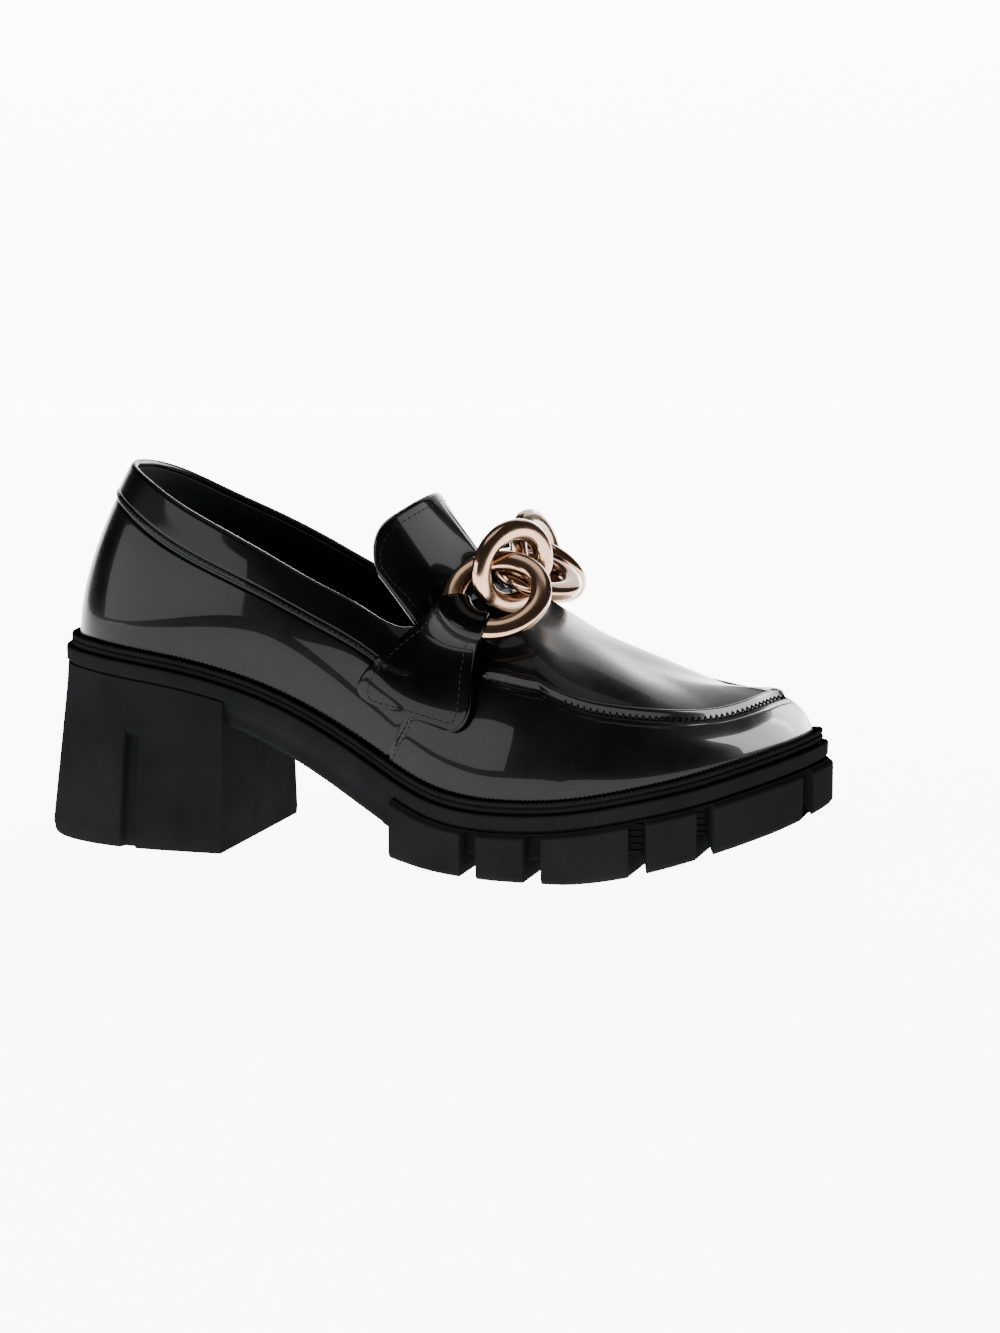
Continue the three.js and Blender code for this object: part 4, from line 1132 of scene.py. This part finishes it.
def fold_rows(index, shares):
    link = link_frame(index)
    _, normal, long, wide, half = link
    lean = math.atan2(wide @ TAB_PULL, long @ TAB_PULL)
    turn_half = TAB_HALF / half[0]
    ahead = wire_at(link, np.array(lean + turn_half))[0] - wire_at(link, np.array(lean))[0]
    forward = math.copysign(1, ahead[0])
    middle, ray = wire_at(link, lean + forward * turn_half * (2 * shares - 1))
    room = FOLD_ROOM + TAB_THICK / 2
    rows = []
    for angle in np.linspace(FOLD_START, FOLD_END, FOLD_STEPS):
        round_wire = math.radians(angle)
        rows.append(middle + ray * (WIRE_WIDTH / 2 + room) * math.cos(round_wire)
                    + normal * (WIRE_THICK / 2 + room) * math.sin(round_wire))
    return np.stack(rows)


def bridge(before, after, steps):
    """Rows that leave one grid and arrive at the next without a corner."""
    start, end = before[-1], after[0]
    gap = np.linalg.norm(end - start, axis=-1, keepdims=True)
    leave, arrive = unit(before[-1] - before[-2]) * gap, unit(after[1] - after[0]) * gap
    rows = []
    for t in np.linspace(0, 1, steps + 2)[1:-1]:
        rows.append((2 * t**3 - 3 * t**2 + 1) * start + (t**3 - 2 * t**2 + t) * leave
                    + (3 * t**2 - 2 * t**3) * end + (t**3 - t**2) * arrive)
    return np.stack(rows)


def tab_mesh(name, side, index):
    shares = np.linspace(0, 1, TAB_ACROSS + 1)
    spots = (len(TAB["back"]) - 1) * np.linspace(0, 1, TAB_STEPS + 1) ** TAB_SPOT_CROWD
    lying = tab_rows(side, spots[:, None], shares[None, :])
    folded_end = fold_rows(index, shares)
    grid = np.concatenate([lying, bridge(lying, folded_end, BRIDGE_STEPS), folded_end])
    smoothed(grid, TAB_SOFTEN, TAB_SOFT_FROM, TAB_SOFT_TO)
    return soft_sheet(name, grid, TAB_THICK), grid


TAB_STITCH_IN = 1.7
for name, side, index in (("outer", OUTER, 0), ("inner", INNER, 4)):
    tab, grid = tab_mesh(f"tab_{name}", side, index)
    dress(tab, PATENT, "patent", f"saddle_{name}")
    grid_out = grid_normal(grid)
    if (grid_out[8, 8] * normal_of(TAB_MIDDLE[0], side, TAB_MIDDLE[1])).sum() < 0:
        grid_out = -grid_out
    low = int(np.searchsorted(run_along(grid[:, TAB_ACROSS // 2]), TAB_STITCH_IN))
    sew(f"tab_stitches_{name}", *round_edge(grid, grid_out, TAB_STITCH_IN, TAB_SOFT_TO, low, TAB_THICK, 6))

# %% [markdown]
# The tongue. It is sewn inside the throat's edge, leaves it, and leans back in a half-round curve.
# Its edge shows the cut leather as a thin pale line, with a row of stitches inside it. It could be a
# cloth pinned at the throat, but thick leather keeps the curve it was cut in, so its rows run straight
# from the throat's edge to a half-round top.

# %% The tongue
TONGUE_THICK = 2
TONGUE_CLEAR = 1.8
TONGUE_LENGTH = 38
TONGUE_LEAN = math.radians(53)
TONGUE_HALF = 26
TONGUE_WRAP = 21
TONGUE_CURVE = math.radians(80)
TONGUE_CORNER = {"from": 0.55, "cut": 0.3}
TONGUE_ROOT = 1.6
TONGUE_SEWN = {"ahead": 0.5, "down": 0.16}
TONGUE_ACROSS, SEWN_STEPS, FREE_STEPS = 72, 10, 36


def tongue_grid():
    clear = -(WALL + TONGUE_CLEAR + TONGUE_THICK / 2)
    root = upper_face(np.array(float(THROAT)), OUTER, 1.0, np.array(clear))
    shares = np.linspace(-1, 1, TONGUE_ACROSS + 1)
    size = np.abs(shares)
    own = np.where(shares < 0, OUTER, INNER)

    def sewn(depth):
        station = THROAT - TONGUE_ROOT * size + TONGUE_SEWN["ahead"] * depth * (1 - size)
        level = 1 - TONGUE_SEWN["down"] * depth * size
        sides = [upper_face(station, side, level, np.full(station.shape, clear)) for side in (OUTER, INNER)]
        return np.where((own == OUTER)[:, None], *sides)

    turn = shares * TONGUE_CURVE
    back = TONGUE_WRAP * (1 - np.cos(turn)) / (1 - math.cos(TONGUE_CURVE))
    top = points(
        root[0] - TONGUE_LENGTH * math.cos(TONGUE_LEAN) - back * math.sin(TONGUE_LEAN),
        root[1] + TONGUE_HALF * np.sin(turn) / math.sin(TONGUE_CURVE),
        root[2] + TONGUE_LENGTH * math.sin(TONGUE_LEAN) - back * math.cos(TONGUE_LEAN),
    )
    past = np.clip((size - TONGUE_CORNER["from"]) / (1 - TONGUE_CORNER["from"]), 0, None)
    corner = (1 - TONGUE_CORNER["cut"] * past**3)[:, None]
    edge = sewn(0)
    rows = [sewn(depth) for depth in np.linspace(1, 0, SEWN_STEPS + 1)]
    rows += [edge + (top - edge) * b * corner for b in np.linspace(0, 1, FREE_STEPS + 1)[1:]]
    grid = np.stack(rows)
    smoothed(grid, 10, SEWN_STEPS - 3, SEWN_STEPS + 5)
    return grid


tongue = tongue_grid()
tongue_mesh = soft_sheet("tongue_leather", tongue, TONGUE_THICK)
dress(tongue_mesh, PATENT, "patent", "tongue")
tongue_out = grid_normal(tongue)
if tongue_out[-8, TONGUE_ACROSS // 2, 0] < 0:
    tongue_out = -tongue_out

EDGE_BORDER, EDGE_WIDTH = 0.4, 0.9


def round_rim(grid, depth=0):
    """The points of a grid round its free edge, or one row further in."""
    left, top, right = grid[SEWN_STEPS + 2:, depth], grid[-1 - depth, 1:-1], grid[SEWN_STEPS + 2:, -1 - depth]
    return np.concatenate([left, top, right[::-1]])


rim_path, rim_up = round_rim(tongue), round_rim(tongue_out)
rim_out = unit(rim_path - round_rim(tongue, 1))
rim_at = rim_path + rim_out * (TONGUE_THICK / 2 + EDGE_BORDER - EDGE_WIDTH / 4)
edge_rows = []
for out, up in ((0.5, 0.0), (0.15, 0.5), (-0.5, 0.5), (-0.5, -0.5), (0.15, -0.5), (0.5, 0.0)):
    edge_rows.append(rim_at + rim_out * out * EDGE_WIDTH / 2 + rim_up * up * EDGE_WIDTH)
edge_grid = np.stack(edge_rows)
edge_mesh = new_mesh("tongue_edge", edge_grid.reshape(-1, 3), grid_faces(*edge_grid.shape[:2]))
dress(edge_mesh, CUT_EDGE, "patent")

STITCH_IN = 2.4
tongue_run = run_along(np.swapaxes(tongue, 0, 1)[TONGUE_ACROSS // 2])
high = int(np.searchsorted(tongue_run, tongue_run[-1] - STITCH_IN))
sew("tongue_stitches", *round_edge(tongue, tongue_out, STITCH_IN, SEWN_STEPS + 3, high, TONGUE_THICK, 12))

# %% [markdown]
# Seams of the upper. Stitches run along the collar band, across the moccasin seam as small gathers,
# and up the vamp's edge. A bump texture could draw them, but it would be flat in the outline, so each
# stitch is a small rod of its own.

# %% The upper's stitches
def level_past(stations, side, past):
    """The level at a distance past the seam, measured along each section."""
    level = levels_by(stations, LEVEL_STEPS)
    spot = np.broadcast_to(stations[:, None], level.shape)
    length = run_along(bare_upper(spot, side, level))
    wanted = length[:, LEVEL_STEPS // 2] + past
    return np.array([np.interp(w, row, own) for w, row, own in zip(wanted, length, level)])


def seam_path(first, last, side, past, lift):
    stations = np.linspace(first, last, int(abs(last - first) * 30) + 2)
    level = level_past(stations, side, past)
    raised = relief(stations, np.full(stations.shape, float(past)), level) + lift
    at = upper_face(stations, side, level, raised)
    return at, normal_of(stations, side, level)


def both_sides(first, last, past, lift):
    """A path from a station on the outer side, round the end, to the same station inside."""
    outer = seam_path(first, last, OUTER, past, lift)
    inner = seam_path(last, first, INNER, past, lift)
    return [np.concatenate([a, b[1:]]) for a, b in zip(outer, inner)]


COLLAR_TO, COLLAR_ABOVE, COLLAR_LIFT = 8.0, 1.1, 0.02
sew("collar_stitches", *both_sides(COLLAR_TO, 0.0, COLLAR_ABOVE, COLLAR_LIFT))

APRON_FROM, APRON_BELOW = 9.15, 2.4
GATHERS_FROM, GATHERS_BELOW = APRON_FROM + 1.2, 1.7
GATHER_PITCH, GATHER_LENGTH, GATHER_RADIUS = 2.0, 2.4, 0.32
sew("apron_stitches", *both_sides(APRON_FROM, TIP, -APRON_BELOW, THREAD_LIFT))
middles, ways, ups = spaced(*both_sides(GATHERS_FROM, TIP, -GATHERS_BELOW, 0.0), GATHER_PITCH)
gathers = rods("apron_gathers", middles, np.cross(ways, ups), ups, GATHER_LENGTH, GATHER_RADIUS)
dress(gathers, PATENT, "patent")

VAMP_STITCH_IN = 0.075
edge_levels = np.linspace(0.03, 0.47, 40)
for name, side in (("outer", OUTER), ("inner", INNER)):
    line = np.interp(edge_levels, VAMP_EDGE["level"], VAMP_EDGE["station"]) + VAMP_STITCH_IN
    at = upper_face(line, side, edge_levels, np.full(line.shape, VAMP_RAISE))
    sew(f"vamp_stitches_{name}", at, normal_of(line, side, edge_levels))

# %% [markdown]
# The welt. A strip of moulded cord runs round the foot of the upper: fine ribs on top, a dark groove
# along its side, and a plain band below. A bevelled curve would give the strip but not its ribs, so
# the profile is set at many close stations, and the ribs are a wave along the outline.

# %% The welt
WELT_STATIONS = 70 * TIP
RIB_PITCH, RIB_RAISE = 1.5, 0.3
WELT_PROFILE = [
    (3.6, -0.25, 0), (3.2, 0.0, 1), (2.6, 0.1, 1), (2.1, -0.05, 1), (1.85, -0.4, 1), (1.8, -0.95, 0.3),
    (1.85, -1.15, 0), (2.5, -1.3, 0), (2.5, -1.75, 0), (1.85, -1.9, 0), (1.7, -2.2, 0), (1.7, -2.9, 0),
    (2.0, -3.35, 0), (3.6, -3.4, 0), (3.6, -0.25, 0),
]


def welt_mesh():
    stations = np.linspace(0, TIP, WELT_STATIONS + 1)
    verts, faces = [], []
    for side in (OUTER, INNER):
        run = round_from(stations, side, 0.0)
        rib = RIB_RAISE * (0.5 + 0.5 * np.cos(2 * math.pi * run / RIB_PITCH)) - RIB_RAISE / 2
        rows = []
        for inset, drop, share in WELT_PROFILE:
            rows.append(outline(stations, side, inset - 0.5 * rib * share, welt_top(stations) + drop
                                + rib * share))
        at = np.stack(rows)
        faces += grid_faces(*at.shape[:2], start=sum(len(v) for v in verts))
        verts.append(at.reshape(-1, 3))
    return new_mesh("welt_strip", np.concatenate(verts), faces)


dress(welt_mesh(), RUBBER, "sole_rubber", "welt")

# %% [markdown]
# Ribs in the slots. The mould leaves level bars in the heel's grooves and between the front lugs. They
# are rods on the slots' floors, because cutting them into the sole's mesh would crowd its sections.

# %% Ribs in the sole's slots
SLOT_RIB = {"pitch": 2.0, "radius": 0.45}
HEEL_RIBS_FROM = 18
LUG_RIBS_ABOVE, RIBS_BELOW = 0.8, 1


def slot_ribs(name, slots):
    """Level bars across the floor of each slot: its station, side, depth, width and two heights."""
    middles, ways, ups, lengths = [], [], [], []
    for station, side, depth, width, low, high in slots:
        for z in np.arange(low, high, SLOT_RIB["pitch"]):
            spot = np.array(float(station))
            middles.append(outline(spot, side, depth, z))
            ways.append(np.cross(outward(spot, side), (0, 0, 1)))
            ups.append(outward(spot, side))
            lengths.append(width)
    return rods(name, middles, ways, ups, np.array(lengths), SLOT_RIB["radius"])


lug_slots, heel_slots = [], []
for side in (OUTER, INNER):
    for share in LUG_GAPS[2:]:
        at = station_at(share * SOLE_LENGTH)
        roof = float(rand_top(at)) - RAND_HEIGHT - CREASE_HEIGHT
        floor = max(0.0, float(HEEL_RISE * TREAD(at))) + TREAD_DEPTH
        low, high = floor + LUG_RIBS_ABOVE, roof - RIBS_BELOW
        lug_slots.append((at, side, LUG_SLOT_DEPTH, LUG_GAP - EDGE, low, high))
for at in (0.0, station_at(HEEL_GROOVE_AT * SOLE_LENGTH)):
    for side in (OUTER, INNER) if at else (OUTER,):
        width, high = HEEL_GROOVE_WIDTH - EDGE, HEEL_GROOVE_TOP - RIBS_BELOW
        heel_slots.append((at, side, HEEL_GROOVE_DEPTH, width, HEEL_RIBS_FROM, high))
dress(slot_ribs("lug_ribs", lug_slots), RUBBER, "sole_rubber")
dress(slot_ribs("heel_ribs", heel_slots), RUBBER, "sole_rubber")

# %% [markdown]
# What stays from the frame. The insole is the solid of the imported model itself, since its shape is
# right and little of it shows. It only gets the finish of the lining.

# %% The insole's finish
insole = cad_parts["insole"]
insole.data.materials.clear()
insole.data.materials.append(LINING)
print("insole wears", insole.data.materials[0].name)

# %% [markdown]
# Some lamps are flagged, as in a studio. The toe's lamps light only the upper, so that the rubber
# stays black. The tongue and the lining share a dimmer one, and the tabs have a low lamp of their own
# in place of the large panel, so that they stay dark above their lower edge.

# %% Flagged lamps
for lamp, only, spared in FLAGGED:
    lit = lamp.light_linking.receiver_collection
    for name in [*only, *spared]:
        lit.objects.link(bpy.data.objects[name])
    if spared:
        for entry in lit.collection_objects:
            entry.light_linking.link_state = "EXCLUDE"
